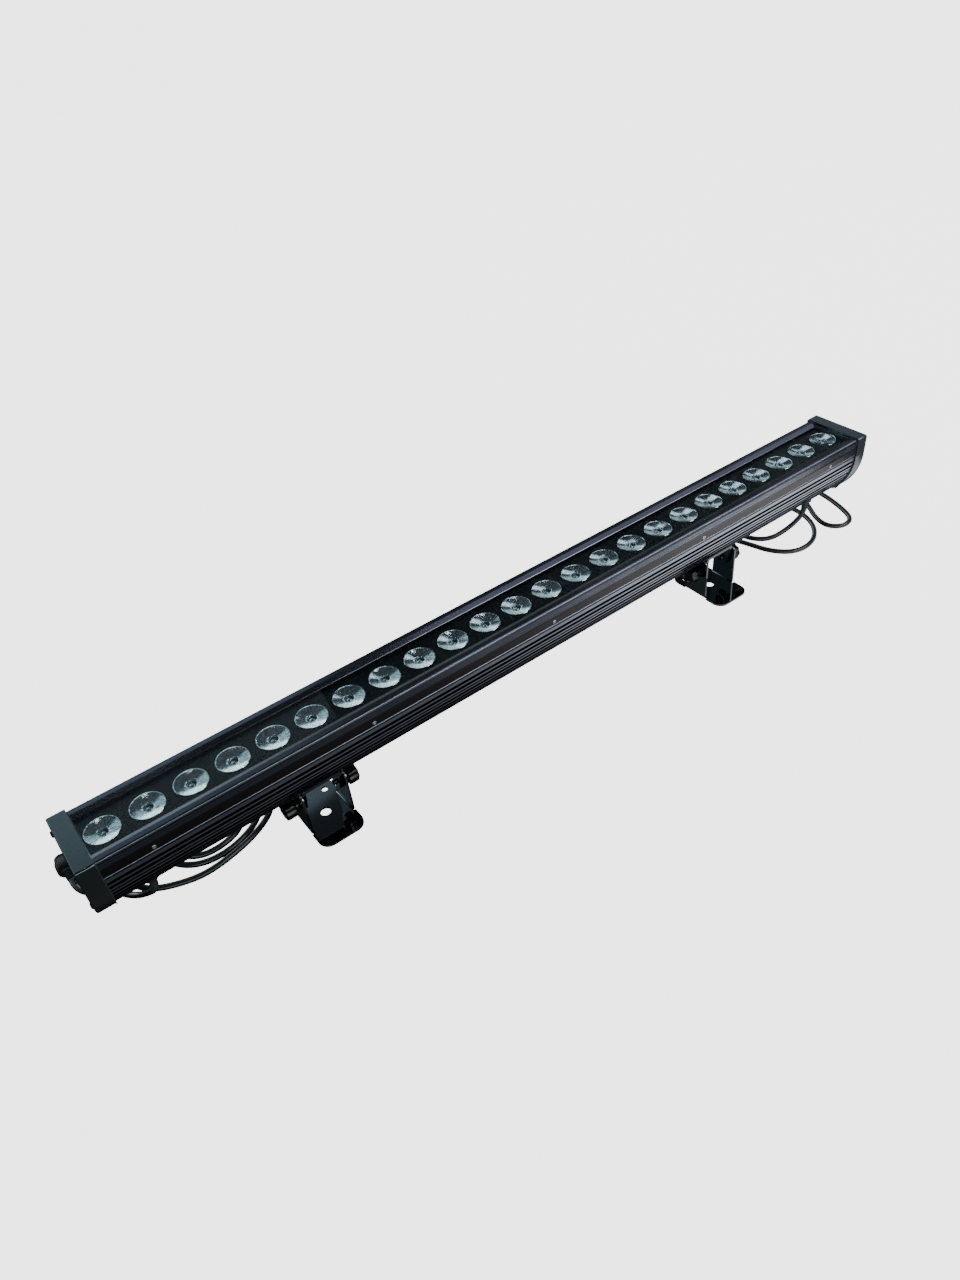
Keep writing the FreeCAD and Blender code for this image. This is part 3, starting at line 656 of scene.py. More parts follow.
def bridge(mesh: bmesh.types.BMesh, rings: list[list[bmesh.types.BMVert]]) -> None:
    """Join rings of points with faces.

    Args:
        mesh: The points' mesh.
        rings: The rings in order. One that ends the shape in a tip has one point.
    """
    for near, far in zip(rings, rings[1:]):
        sides = max(len(near), len(far))
        for step in range(sides):
            after = (step + 1) % sides
            if len(near) == 1:
                mesh.faces.new((near[0], far[step], far[after]))
            elif len(far) == 1:
                mesh.faces.new((near[step], near[after], far[0]))
            else:
                mesh.faces.new((near[step], near[after], far[after], far[step]))


def lathe(mesh: bmesh.types.BMesh, profile: Profile | list[Pair], sides: int, place: Matrix,
          ripple: float = 0.0, ripple_count: int = 0) -> None:
    """Add a turned shape to a mesh.

    Args:
        mesh: Mesh to add to.
        profile: Points (radius, height) along the local Z axis, in millimetres.
        sides: Points round the axis.
        place: Where the local frame goes.
        ripple: Share by which the radius drops between ripples.
        ripple_count: Ripples round the axis.
    """
    rings = []
    for radius, height in profile:
        ring = []
        for step in range(sides if radius else 1):
            angle = 2 * math.pi * step / sides
            reach = radius * MM
            if ripple_count:
                reach *= 1 - ripple * (0.5 + 0.5 * math.cos(ripple_count * angle))
            ring.append(mesh.verts.new(place @ Vector((reach * math.cos(angle),
                                                       reach * math.sin(angle), height * MM))))
        rings.append(ring)
    bridge(mesh, rings)


# Camera, floor and lights


@dataclass(frozen=True)
class PhotoCamera:
    """Camera at the photograph's viewing angle.

    Args:
        place: Location in metres.
        right: Direction to the image's right.
        up: Direction to the image's top.
        lens: Focal length for the sensor's height.
        sensor: Height of the sensor in millimetres.
        clip: Nearest and furthest distance that it sees, in metres.
    """

    place: Point = (-0.47546, -0.63866, 0.73815)
    right: Point = (0.79804, -0.59590, -0.08961)
    up: Point = (0.43900, 0.47304, 0.76388)
    lens: float = 27.06
    sensor: float = 36.0
    clip: Pair = (0.01, 50.0)

    def build(self) -> None:
        """Make the camera and use it."""
        data = bpy.data.cameras.new("photo_camera")
        data.sensor_fit = "VERTICAL"
        data.sensor_height = self.sensor
        data.lens = self.lens
        data.clip_start, data.clip_end = self.clip
        right = Vector(self.right).normalized()
        up = Vector(self.up).normalized()
        turn = Matrix((right, up, right.cross(up))).transposed().to_4x4()
        made = put("photo_camera", data)
        made.matrix_world = Matrix.Translation(Vector(self.place)) @ turn
        bpy.context.scene.camera = made
        LOG.info("made %s", made.name)


@dataclass(frozen=True)
class SoftBox:
    """Area light that faces a point.

    Args:
        name: Light name.
        place: Location in metres.
        aim: Point that it faces.
        size: Width and height in metres.
        power: Power in watts.
        colour: Light colour.
    """

    name: str
    place: Point
    aim: Point
    size: Pair
    power: float
    colour: Colour = (1.0, 1.0, 1.0)

    def build(self) -> None:
        """Make the light."""
        data = bpy.data.lights.new(self.name, "AREA")
        data.shape = "RECTANGLE"
        data.size, data.size_y = self.size
        data.energy = self.power
        data.color = self.colour
        made = put(self.name, data)
        made.location = self.place
        way = Vector(self.aim) - Vector(self.place)
        made.rotation_euler = way.to_track_quat("-Z", "Y").to_euler()
        LOG.info("made %s", made.name)


@dataclass(frozen=True)
class Studio:
    """Pale floor, pale room and soft lights.

    Args:
        floor_half: Half the floor's side in metres.
        floor_turn: X between which the floor's colour turns.
        floor_dark: The floor's colour on the left.
        floor_light: The floor's colour on the right.
        glow_low: X and strength of the floor's faint glow.
        glow_high: X and strength of the glow that joins it to the right.
        glow_end: X past which the glow dies.
        glow_shadow_y: Y past which the glow dies, a painted shadow of the bar on the floor under
            and behind it.
        sky: Colour of the room at each height, from the horizon to overhead.
        dim_right: Direction's X and the room's dimming on the right.
        dim_left: Direction's X and the room's dimming on the left.
        dim_tone: Colour of the dimmed room.
        lights: The lamps.
    """

    floor_half: float = 4.0
    floor_turn: Pair = (-0.35, 0.75)
    floor_dark: Colour = (0.02, 0.02, 0.019)
    floor_light: Colour = (0.1, 0.1, 0.115)
    glow_low: Ramp = (-0.5, 0.1, 0.075, 0.17)
    glow_high: Ramp = (-0.14, 0.42, 0.0, 1.12)
    glow_end: Ramp = (0.57, 0.66, 1.0, 0.1)
    glow_shadow_y: Ramp = (-0.06, 0.0, 1.0, 0.08)
    sky: tuple[tuple[float, Colour], ...] = (
        (0.0, (0.3, 0.33, 0.36)), (0.1, (0.35, 0.4, 0.42)), (0.17, (2.4, 2.95, 3.1)),
        (0.35, (2.3, 2.8, 2.95)), (0.44, (0.25, 0.29, 0.33)), (0.56, (0.07, 0.085, 0.1)),
        (1.0, (0.05, 0.055, 0.06)))
    dim_right: Ramp = (0.15, 0.8, 0.0, 0.8)
    dim_left: Ramp = (-0.85, -0.55, 0.88, 0.0)
    dim_tone: Colour = (0.02, 0.022, 0.025)
    lights: tuple[SoftBox, ...] = (
        SoftBox("front_box", (1.35, -1.5, 1.75), (0.45, 0.0, 0.1), (2.1, 0.5), 19.0,
                (0.97, 0.985, 1.0)),
        SoftBox("back_box", (-0.5, 1.3, 1.14), (-0.3, 0.0, 0.1), (1.4, 0.56), 1.25,
                (0.66, 0.88, 1.0)),
        SoftBox("top_strip", (1.35, -0.02, 1.5), (1.35, -0.02, 0.0), (1.9, 0.46), 4.4,
                (0.82, 0.84, 1.0)),
        SoftBox("rear_strip", (1.5, 0.83, 1.53), (1.5, 0.83, 0.0), (1.6, 0.44), 3.4,
                (0.8, 0.84, 1.0)),
        SoftBox("lamp_one", (0.35, 0.45, 1.5), (0.0, 0.0, 0.1), (0.04, 0.04), 0.12),
        SoftBox("lamp_two", (0.5, 0.4, 1.5), (0.0, 0.0, 0.1), (0.03, 0.03), 0.09),
        SoftBox("lamp_three", (-0.45, 0.45, 1.5), (0.0, 0.0, 0.1), (0.04, 0.04), 0.12),
        SoftBox("lamp_four", (-0.3, 0.4, 1.5), (0.0, 0.0, 0.1), (0.03, 0.03), 0.09),
    )

    def build(self) -> None:
        """Make the floor, the room's light and the lamps."""
        self._floor()
        self._room()
        for light in self.lights:
            light.build()

    def _floor(self) -> None:
        """Make the plain pale floor."""
        half = self.floor_half
        mesh = bmesh.new()
        mesh.faces.new([mesh.verts.new((x, y, 0.0)) for x, y in
                        ((-half, -half), (half, -half), (half, half), (-half, half))])
        material, tree, shader = new_material("pale_floor")
        place = tree.position()
        glow = tree.maths("ADD", tree.between(place["X"], *self.glow_low),
                          tree.between(place["X"], *self.glow_high))
        glow = tree.maths("MULTIPLY", glow, tree.between(place["X"], *self.glow_end))
        # Painted shadow: the glow dies under and behind the bar
        glow = tree.maths("MULTIPLY", glow, tree.between(place["Y"], *self.glow_shadow_y))
        seen = tree.maths("MULTIPLY", tree.node("LightPath").outputs["Is Camera Ray"], PAPER)
        tree.fill(shader, {
            "Base Color": tree.blend(tree.between(place["X"], *self.floor_turn),
                                     self.floor_dark, self.floor_light),
            "Roughness": 0.9, "Specular IOR Level": 0.1, "Emission Color": (1.0, 1.0, 1.0),
            "Emission Strength": tree.maths("MAXIMUM", glow, seen)})
        floor = mesh_piece("floor", mesh, material)
        LOG.info("made %s", floor.name)

    def _room(self) -> None:
        """Make a room that is bright near the horizon and dim overhead."""
        world = bpy.data.worlds.new("studio_room")
        world.use_nodes = True
        bpy.context.scene.world = world
        tree = Tree(world.node_tree)
        way = tree.position("Generated")
        ramp = tree.node("ValToRGB", {0: way["Z"]})
        elements = ramp.color_ramp.elements
        for number, (height, colour) in enumerate(self.sky):
            stop = elements[number] if number < 2 else elements.new(height)
            stop.position = height
            stop.color = (*colour, 1.0)
        ends = tree.maths("MAXIMUM", tree.between(way["X"], *self.dim_right),
                          tree.between(way["X"], *self.dim_left))
        dimmed = tree.blend(ends, ramp.outputs[0], self.dim_tone)
        seen = tree.node("LightPath").outputs["Is Camera Ray"]
        tree.fill(world.node_tree.nodes["Background"],
                  {"Color": tree.blend(seen, dimmed, (PAPER, PAPER, PAPER)), "Strength": 1.0})
        LOG.info("made %s", world.name)


# Cords


@dataclass(frozen=True)
class Cord:
    """One free cord from its gland to its plug, in millimetres where nothing else is said.

    Args:
        side: The end of the bar that it leaves from.
        route: Points with X measured from the gland.
        plug: X, measured from the gland, and Y where it meets its plug.
        length: Length in metres; not used.
        gland_x: Distance of the gland from the bar's middle.
        gland_z: Height of the gland's end.
        drop: First straight run below the gland.
        plug_z: Height of the plug's axis.
        plug_run: Straight run into the plug.
        radius: Radius of the cord.
    """

    side: Side
    route: tuple[Point, ...]
    plug: Pair
    length: float
    gland_x: float = 448.0
    gland_z: float = 41.5
    drop: float = 11.5
    plug_z: float = 8.7
    plug_run: float = 14.0
    radius: float = 3.2

    @property
    def name(self) -> str:
        """Piece name."""
        return self.side.name.lower() + "_cord"

    @property
    def exit(self) -> Point:
        """Point where the cord leaves its gland, in metres."""
        return (self.side.value * self.gland_x * MM, 0.0, self.gland_z * MM)

    @property
    def end(self) -> Point:
        """Point where the cord meets its plug, in metres."""
        x = self.side.value * self.gland_x + self.plug[0]
        return (x * MM, self.plug[1] * MM, self.plug_z * MM)

    def points(self) -> list[Point]:
        """List the control points of the whole cord.

        Returns:
            Points in metres, from the gland to the plug.
        """
        x = self.side.value * self.gland_x
        points = [self.exit, (x * MM, 0.0, (self.gland_z - self.drop) * MM)]
        points += [((x + along) * MM, across * MM, up * MM) for along, across, up in self.route]
        end = self.end
        return points + [(end[0], end[1] - self.plug_run * MM, end[2]), end]

    def build(self, material: bpy.types.Material) -> bpy.types.Object:
        """Make the cord's curve.

        Args:
            material: The cord's material.

        Returns:
            The curve object.
        """
        data = bpy.data.curves.new(self.name, "CURVE")
        data.dimensions = "3D"
        data.bevel_depth = self.radius * MM
        data.bevel_resolution = 5
        data.resolution_u = 10
        data.use_fill_caps = True
        points = self.points()
        spline = data.splines.new("NURBS")
        spline.points.add(len(points) - 1)
        for point, place in zip(spline.points, points):
            point.co = (*place, 1.0)
        spline.order_u = 3
        spline.use_endpoint_u = True
        data.materials.append(material)
        return put(self.name, data)


LEFT_CORD = Cord(Side.LEFT, (
    (-7.0, 10.0, 19.0), (-17.0, 23.0, 9.5), (-29.0, 42.0, 3.2), (-36.0, 72.0, 3.2),
    (-28.0, 106.0, 3.2), (1.0, 128.0, 3.2), (44.0, 136.0, 3.2), (90.0, 130.0, 3.2),
    (126.0, 108.0, 3.2), (140.0, 72.0, 3.2), (134.0, 40.0, 3.2), (108.0, 22.0, 3.2),
    (76.0, 12.0, 3.2), (44.0, 8.0, 3.2), (16.0, 16.0, 3.2), (-4.0, 27.0, 3.2),
    (-16.0, 44.0, 3.2), (-18.0, 68.0, 3.2), (-10.0, 94.0, 3.2), (14.0, 114.0, 3.2),
    (48.0, 121.0, 3.2), (86.0, 114.0, 3.2), (114.0, 94.0, 3.2), (126.0, 64.0, 3.2),
    (118.0, 39.0, 3.2), (96.0, 25.0, 3.2), (70.0, 18.5, 3.2), (46.0, 22.0, 3.2),
    (28.0, 36.0, 3.2), (17.0, 60.0, 3.2), (24.0, 86.0, 3.2), (48.0, 101.0, 3.2),
    (78.0, 97.0, 3.2), (101.0, 79.0, 3.2), (107.0, 55.0, 3.2), (95.0, 36.5, 3.2),
    (72.0, 29.0, 3.2), (50.0, 31.0, 3.2), (34.0, 40.0, 9.0), (16.0, 45.0, 13.0),
    (-8.0, 47.0, 13.6), (-31.0, 46.0, 13.0), (-49.0, 52.0, 11.0)),
                 plug=(-60.0, 83.0), length=1.2437)
RIGHT_CORD = Cord(Side.RIGHT, (
    (-7.0, 4.0, 17.0), (-23.0, 7.0, 9.0), (-45.0, 12.0, 3.4), (-61.0, 26.0, 3.2),
    (-67.0, 50.0, 3.2), (-54.0, 76.0, 3.2), (-24.0, 89.0, 3.2), (9.0, 80.0, 3.2),
    (31.0, 53.0, 3.2), (30.0, 18.0, 3.2), (14.0, -12.0, 3.2), (-14.0, -30.0, 3.2),
    (-46.0, -29.0, 3.2), (-67.0, -6.0, 3.2), (-75.0, 28.0, 3.2), (-87.0, 62.0, 3.2),
    (-86.0, 100.0, 3.2), (-64.0, 130.0, 3.2), (-26.0, 146.0, 3.2), (16.0, 148.0, 3.2),
    (56.0, 136.0, 3.2), (83.0, 106.0, 3.2), (90.0, 66.0, 3.2), (86.0, 27.0, 3.2),
    (75.0, -10.0, 3.2), (63.0, -31.0, 3.2), (42.0, -33.0, 3.2), (28.5, -18.0, 3.2),
    (32.0, 3.0, 5.0), (42.0, 21.0, 8.0), (52.0, 39.0, 8.7)),
                  plug=(56.0, 74.0), length=0.9829)


@dataclass(frozen=True)
class StrainRelief:
    """Ridged, tapered sleeve round the first stretch of a cord, in metres.

    Args:
        top: Height at which it starts, above the cord's exit.
        length: Length along the cord.
        radii: Radius at the top and at the tip.
        groove: Depth of the grooves between its ridges.
        grooved: First and last step that may lie in a groove.
        steps: Rings along it.
        sides: Points round it.
    """

    top: float = 0.0475
    length: float = 0.022
    radii: Pair = (0.0046, 0.0032)
    groove: float = 0.00045
    grooved: tuple[int, int] = (7, 40)
    steps: int = 44
    sides: int = 28

    def _middle_line(self, line: bpy.types.Object, start: Point) -> list[Vector]:
        """Read the points that the sleeve follows from the cord's own curve.

        Args:
            line: The cord's curve.
            start: Where the cord leaves its gland, in metres.

        Returns:
            Points in metres, from the sleeve's top along the whole cord.
        """
        bare = line.data.copy()
        bare.bevel_depth = 0.0
        carrier = put(line.name + "_middle", bare)
        bpy.context.view_layer.update()
        path_mesh = bpy.data.meshes.new_from_object(carrier)
        points = [Vector((start[0], 0.0, self.top))]
        points += [vertex.co.copy() for vertex in path_mesh.vertices]
        bpy.data.meshes.remove(path_mesh)
        bpy.data.objects.remove(carrier)
        bpy.data.curves.remove(bare)
        return points

    def build(self, name: str, line: bpy.types.Object, start: Point,
              material: bpy.types.Material) -> bpy.types.Object:
        """Make the sleeve.

        Args:
            name: Piece name.
            line: The cord's curve.
            start: Where the cord leaves its gland, in metres.
            material: Its material.

        Returns:
            The sleeve object.
        """
        points = self._middle_line(line, start)
        marks = [0.0]
        for near, far in zip(points, points[1:]):
            marks.append(marks[-1] + (far - near).length)
        mesh = bmesh.new()
        rings = []
        for step in range(self.steps + 1):
            reach = self.length * step / self.steps
            place = next(number for number, mark in enumerate(marks) if mark >= reach and number)
            span = marks[place] - marks[place - 1]
            middle = points[place - 1].lerp(points[place], (reach - marks[place - 1]) / span)
            along = (points[min(place + 1, len(points) - 1)] - points[place - 1]).normalized()
            turn = along.to_track_quat("Z", "Y").to_matrix()
            radius = self.radii[0] + (self.radii[1] - self.radii[0]) * step / self.steps
            if step % 4 in (2, 3) and self.grooved[0] <= step <= self.grooved[1]:
                radius -= self.groove
            angles = [2 * math.pi * side / self.sides for side in range(self.sides)]
            rings.append([mesh.verts.new(middle + turn @ Vector((
                radius * math.cos(angle), radius * math.sin(angle), 0.0))) for angle in angles])
        bridge(mesh, rings)
        mesh.faces.new(rings[0])
        mesh.faces.new(rings[-1])
        return mesh_piece(name, mesh, material, smooth_angle=50.0)


@dataclass(frozen=True)
class PlugParts:
    """Sizes of a cord's plug and its lock ring, in millimetres.

    Args:
        tail_radius: Radius where the cord goes in.
        nose_radius: Radius of the nose's wide end.
        nose_length: Length of the tapered nose.
        ridges: Ridges on the nose.
        ridge_start: Where the first ridge starts.
        ridge_free: Length of the nose that has no ridges.
        ridge_depth: Depth of the grooves between them.
        body_radius: Radius of the body.
        body_length: Length of the body.
        socket_depth: Depth of the pin socket.
        pin_radius: Radius of a pin.
        pin_offset: Distance of each pin from the plug's axis.
        ring_radius: Outer radius of the lock ring.
        ring_length: Length of the lock ring.
        ring_setback: Distance from the nose to the lock ring.
        ring_gap: Gap between the lock ring and the body.
        ring_ribs: Ribs round the lock ring.
        rib_depth: Share of the radius that a rib stands out by.
    """

    tail_radius: float = 3.4
    nose_radius: float = 4.6
    nose_length: float = 12.0
    ridges: int = 4
    ridge_start: float = 1.6
    ridge_free: float = 3.4
    ridge_depth: float = 0.5
    body_radius: float = 7.0
    body_length: float = 22.0
    socket_depth: float = 4.0
    pin_radius: float = 0.8
    pin_offset: float = 2.2
    ring_radius: float = 8.6
    ring_length: float = 15.0
    ring_setback: float = 2.0
    ring_gap: float = 0.3
    ring_ribs: int = 26
    rib_depth: float = 0.055

    def _nose(self) -> list[Pair]:
        """Draw the outline of the ridged nose.

        Returns:
            Points (radius, height).
        """
        tail = self.tail_radius
        points = [(0.0, 0.0), (tail - 0.3, 0.0), (tail, 0.4)]
        for ridge in range(self.ridges):
            z = self.ridge_start + ridge * (self.nose_length - self.ridge_free) / self.ridges
            radius = tail + (self.nose_radius - tail) * z / self.nose_length
            groove = radius - self.ridge_depth
            points += [(radius, z), (groove, z + 0.35), (groove, z + 0.95),
                       (radius + 0.1, z + 1.3)]
        return points

    def build_plug(self, name: str, place: Matrix,
                   material: bpy.types.Material) -> bpy.types.Object:
        """Make the plug with its ridged nose, body and pin socket.

        Args:
            name: Piece name.
            place: Frame whose Z runs out of the cord.
            material: Its material.

        Returns:
            The plug object.
        """
        mesh = bmesh.new()
        nose, body, pin = self.nose_length, self.body_radius, self.pin_radius
        end = nose + self.body_length
        floor = end - self.socket_depth
        lathe(mesh, self._nose() + [
            (self.nose_radius, nose - 0.6), (body - 0.9, nose + 0.1), (body, nose + 1.0),
            (body, end - 2.4), (body - 0.5, end - 2.2), (body - 0.5, end - 1.2),
            (body - 0.2, end - 0.6), (body - 0.8, end), (body - 1.6, end),
            (body - 1.8, floor), (0.0, floor)], sides=40, place=place)
        for way in (-1, 1):
            shift = Matrix.Translation((way * self.pin_offset * MM, 0.0, 0.0))
            lathe(mesh, [(0.0, end - 3.9), (pin, end - 3.9), (pin, end - 0.8),
                         (pin - 0.3, end - 0.4), (0.0, end - 0.4)],
                  sides=12, place=place @ shift)
        return mesh_piece(name, mesh, material)

    def build_ring(self, name: str, place: Matrix,
                   material: bpy.types.Material) -> bpy.types.Object:
        """Make the ribbed lock ring round the plug's body.

        Args:
            name: Piece name.
            place: The plug's frame.
            material: Its material.

        Returns:
            The ring object.
        """
        mesh = bmesh.new()
        start = self.nose_length + self.ring_setback
        end = start + self.ring_length
        bore = self.body_radius + self.ring_gap
        outer = self.ring_radius
        lathe(mesh, [
            (bore, start), (outer - 0.9, start), (outer - 0.3, start + 0.5), (outer, start + 1.2),
            (outer, end - 3.0), (outer - 0.5, end - 2.4), (outer - 0.5, end - 0.6),
            (outer - 0.9, end), (bore, end), (bore, start)],
              sides=self.ring_ribs * 6, place=place,
              ripple=self.rib_depth, ripple_count=self.ring_ribs)
        return mesh_piece(name, mesh, material)


# The bar's pieces


@dataclass(frozen=True)
class LensRow:
    """The row of lenses: a shallow silvery cone under each face, a ringed well and a dome in it.

    Args:
        base_radius: Radius at the light source.
        bottom: Height of the base.
        top: Height of the face.
        rim: Points (radius, depth below the face) of the flange round the face.
        face: Points of the cone, from the rim to the well.
        dome: Points of the dome in the well.
        sides: Points round a lens.
    """

    base_radius: float = 7.0
    bottom: float = 108.3
    top: float = 127.1
    rim: Profile = ((14.9, 1.6), (15.9, 1.3), (15.95, 0.2), (15.75, 0.0), (15.3, 0.0),
                    (15.1, 0.25), (15.0, 0.6))
    face: Profile = ((13.6, 0.97), (12.0, 1.37), (10.2, 1.79), (8.4, 2.18), (6.9, 2.49),
                     (6.2, 2.62), (5.9, 2.45), (5.6, 2.5), (5.2, 2.82), (4.9, 2.65), (4.6, 2.7),
                     (4.3, 3.6), (4.1, 6.6))
    dome: Profile = ((4.0, 6.8), (3.7, 6.0), (3.0, 5.1), (2.0, 4.5), (1.0, 4.2), (0.0, 4.1))
    sides: int = 64

    def build(self, material: bpy.types.Material) -> bpy.types.Object:
        """Make the lens row as one piece.

        Args:
            material: The lens material.

        Returns:
            The lens object.
        """
        mesh = bmesh.new()
        profile = [(0.0, self.bottom), (self.base_radius, self.bottom)]
        profile += [(radius, self.top - depth) for radius, depth in
                    self.rim + self.face + self.dome]
        for number in range(LENS_COUNT):
            x = LENS_PITCH * (number - (LENS_COUNT - 1) / 2)
            lathe(mesh, profile, self.sides, Matrix.Translation((x * MM, 0.0, 0.0)))
        return mesh_piece("lens_row", mesh, material, smooth_angle=30.0)


@dataclass(frozen=True)
class CapSeal:
    """Bead of clear sealant that fills the joint between a cap and the bar, in millimetres.

    Args:
        inner: Distance of the joint's inner face from the bar's middle.
        thickness: Width of the joint.
        outline: Points (y, z) of the right half, from the top down.
        hole: Points of the right half of the opening.
    """

    inner: float = 482.0
    thickness: float = 1.0
    outline: Profile = (
        (0.0, 131.3), (23.2, 131.3), (29.0, 133.6), (34.6, 133.6), (36.2, 131.6), (36.4, 111.0),
        (35.1, 97.0), (31.4, 82.5), (25.0, 68.0), (18.4, 57.9), (0.0, 57.9))
    hole: Profile = (
        (0.0, 114.0), (25.5, 114.0), (25.0, 99.0), (21.0, 84.0), (10.4, 69.0), (0.0, 69.0))

    def build(self, material: bpy.types.Material) -> bpy.types.Object:
        """Make the beads of both ends as one piece.

        Args:
            material: The sealant's material.

        Returns:
            The seal object.
        """
        mesh = bmesh.new()
        ring = self.outline + self.hole[::-1]
        open_sides = (len(self.outline) - 1, len(ring) - 1)
        for side in Side:
            for mirror in (-1, 1):
                near, far = ([mesh.verts.new((side.value * x * MM, mirror * y * MM, z * MM))
                              for y, z in ring]
                             for x in (self.inner, self.inner + self.thickness))
                for step in range(len(ring)):
                    if step not in open_sides:
                        mesh.faces.new((near[step], near[step + 1], far[step + 1], far[step]))
                mesh.faces.new(near)
                mesh.faces.new(far)
        bmesh.ops.remove_doubles(mesh, verts=mesh.verts, dist=WELD_DISTANCE)
        return mesh_piece("cap_seals", mesh, material, smooth_angle=30.0)


@dataclass(frozen=True)
class EdgeLine:
    """Fine rounded edge that runs along both sides of the bar, in millimetres.

    Args:
        name: Piece name.
        across: Distance of its middle from the bar's middle plane.
        height: Height of its middle.
        radius: Radius of its rounding.
        half_length: Half the edge's length.
    """

    name: str
    across: float
    height: float
    radius: float
    half_length: float = 482.0

    def build(self, material: bpy.types.Material) -> bpy.types.Object:
        """Make the edges of both sides as one piece.

        Args:
            material: Their material.

        Returns:
            The new object.
        """
        mesh = bmesh.new()
        end, radius = self.half_length, self.radius
        for side in (-1, 1):
            place = (Matrix.Translation((0.0, side * self.across * MM, self.height * MM))
                     @ Matrix.Rotation(QUARTER_TURN, 4, "Y"))
            lathe(mesh, [(0.0, -end), (radius, -end), (radius, end), (0.0, end)],
                  sides=12, place=place)
        return mesh_piece(self.name, mesh, material)


# Rounded edges that wear the lighter metal of a painted highlight
PARTING_LIPS = EdgeLine("parting_lips", across=36.42, height=112.6, radius=0.6)
RAIL_EDGES = EdgeLine("rail_edges", across=35.4, height=132.22, radius=0.55)


@dataclass(frozen=True)
class Knob:
    """Hand knob with soft lobes, a turned neck and the stud behind it, in millimetres.

    Args:
        body: The clamp that it turns with.
        side: The foot that it belongs to.
        way: Sign of the direction, along the bar, that it points in.
        middle: Distance of the foot from the bar's middle.
        ear: Distance of the ear's outer face from the foot's middle.
        height: Height of the pivot.
        lobes: Lobes round the grip.
        lobe_depth: Share of the radius that a lobe stands out by.
        stud: Points (radius, distance from the ear) of the stud and neck.
        grip: Points of the lobed grip.
    """

    body: Body
    side: Side
    way: int
    middle: float = 275.5
    ear: float = 25.0
    height: float = 34.0
    lobes: int = 8
    lobe_depth: float = 0.1
    stud: Profile = ((0.0, -9.8), (2.5, -9.8), (3.0, -9.3), (3.0, 0.0), (7.2, 0.0), (7.6, 0.4),
                     (7.6, 3.6), (7.0, 4.3), (3.0, 4.3))
    grip: Profile = ((3.0, 4.2), (9.0, 4.2), (10.2, 4.7), (10.8, 5.8), (10.8, 14.4),
                     (10.3, 15.5), (9.2, 16.1), (7.2, 16.2), (6.6, 15.6), (6.3, 15.2),
                     (0.0, 15.2))

    def build(self, name: str, material: bpy.types.Material) -> bpy.types.Object:
        """Make the knob as one piece.

        Args:
            name: Piece name.
            material: Its material.

        Returns:
            The knob object.
        """
        start = Vector(((self.side.value * self.middle + self.way * self.ear) * MM, 0.0,
                        self.height * MM))
        place = (Matrix.Translation(start) @ Matrix.Rotation(self.way * QUARTER_TURN, 4, "Y")
                 @ Matrix.Rotation(math.pi / self.lobes, 4, "Z"))
        mesh = bmesh.new()
        lathe(mesh, self.stud, sides=32, place=place)
        lathe(mesh, self.grip, sides=self.lobes * 12, place=place,
              ripple=self.lobe_depth, ripple_count=self.lobes)
        return mesh_piece(name, mesh, material, smooth_angle=50.0)


KNOBS = (Knob(Body.LEFT_OUTER, Side.LEFT, -1), Knob(Body.LEFT_INNER, Side.LEFT, 1),
         Knob(Body.RIGHT_OUTER, Side.RIGHT, 1), Knob(Body.RIGHT_INNER, Side.RIGHT, -1))


@dataclass(frozen=True)
class ScrewHeads:
    """Pan heads of one kind with a socket in each, in millimetres.

    Args:
        name: Piece name.
        node: CAD node that they stand for.
        look: Their finish.
        facing: The faces that they sit in.
        seats: Middle of each head's underside.
        radius: Radius of a head.
        height: Height of a head.
        profile: Points (share of the radius, share of the height) of a head.
    """

    name: str
    node: str
    look: Look
    facing: Facing
    seats: tuple[Point, ...]
    radius: float
    height: float
    profile: Profile = ((0.0, 0.0), (1.0, 0.0), (1.0, 0.35), (0.93, 0.7), (0.78, 0.93),
                        (0.5, 1.0), (0.46, 0.96), (0.42, 0.3), (0.0, 0.3))

    def build(self, material: bpy.types.Material) -> bpy.types.Object:
        """Make all the heads as one piece.

        Args:
            material: Their material.

        Returns:
            The object with the heads.
        """
        mesh = bmesh.new()
        profile = [(r * self.radius, z * self.height) for r, z in self.profile]
        for seat in self.seats:
            turn = math.copysign(QUARTER_TURN, seat[self.facing.value])
            rotation = (Matrix.Rotation(turn, 4, "Y") if self.facing is Facing.END
                        else Matrix.Rotation(-turn, 4, "X"))
            lathe(mesh, profile, sides=24,
                  place=Matrix.Translation(Vector(seat) * MM) @ rotation)
        return mesh_piece(self.name, mesh, material, smooth_angle=50.0)


# Seats of the screws in millimetres: along, across and above in the rails, and in the caps'
# faces at (distance from the middle plane, height)
SCREW_PITCH, SCREW_SEAT, SCREW_HEIGHT = 218.3, 35.9, 116.3
CAP_FACE = 500.0
CAP_PORTS: Profile = ((30.60, 121.60), (9.96, 63.50))

SIDE_SCREWS = ScrewHeads(
    "side_screw_heads", "side_screws", Look.STEEL, Facing.FLANK,
    tuple((SCREW_PITCH * place, SCREW_SEAT * way, SCREW_HEIGHT)
          for way in (-1, 1) for place in range(-2, 3)), radius=2.3, height=0.9)
CAP_SCREWS = ScrewHeads(
    "cap_screw_heads", "cap_screws", Look.DARK_SCREW, Facing.END,
    tuple((CAP_FACE * way, across * y, z)
          for way in (-1, 1) for across in (-1, 1) for y, z in CAP_PORTS),
    radius=3.2, height=2.0)

# Widths in millimetres to which the sharp edges of CAD nodes are rounded, and the angle in
# degrees past which an edge counts as sharp
SOFT_EDGES = {"left_foot_bracket": 0.3, "right_foot_bracket": 0.3, "lug_brackets": 0.3,
              "left_end_cap": 0.4, "right_end_cap": 0.4, "gland_bodies": 0.6, "gland_nuts": 0.6}
SHARP_ANGLE = 35.0


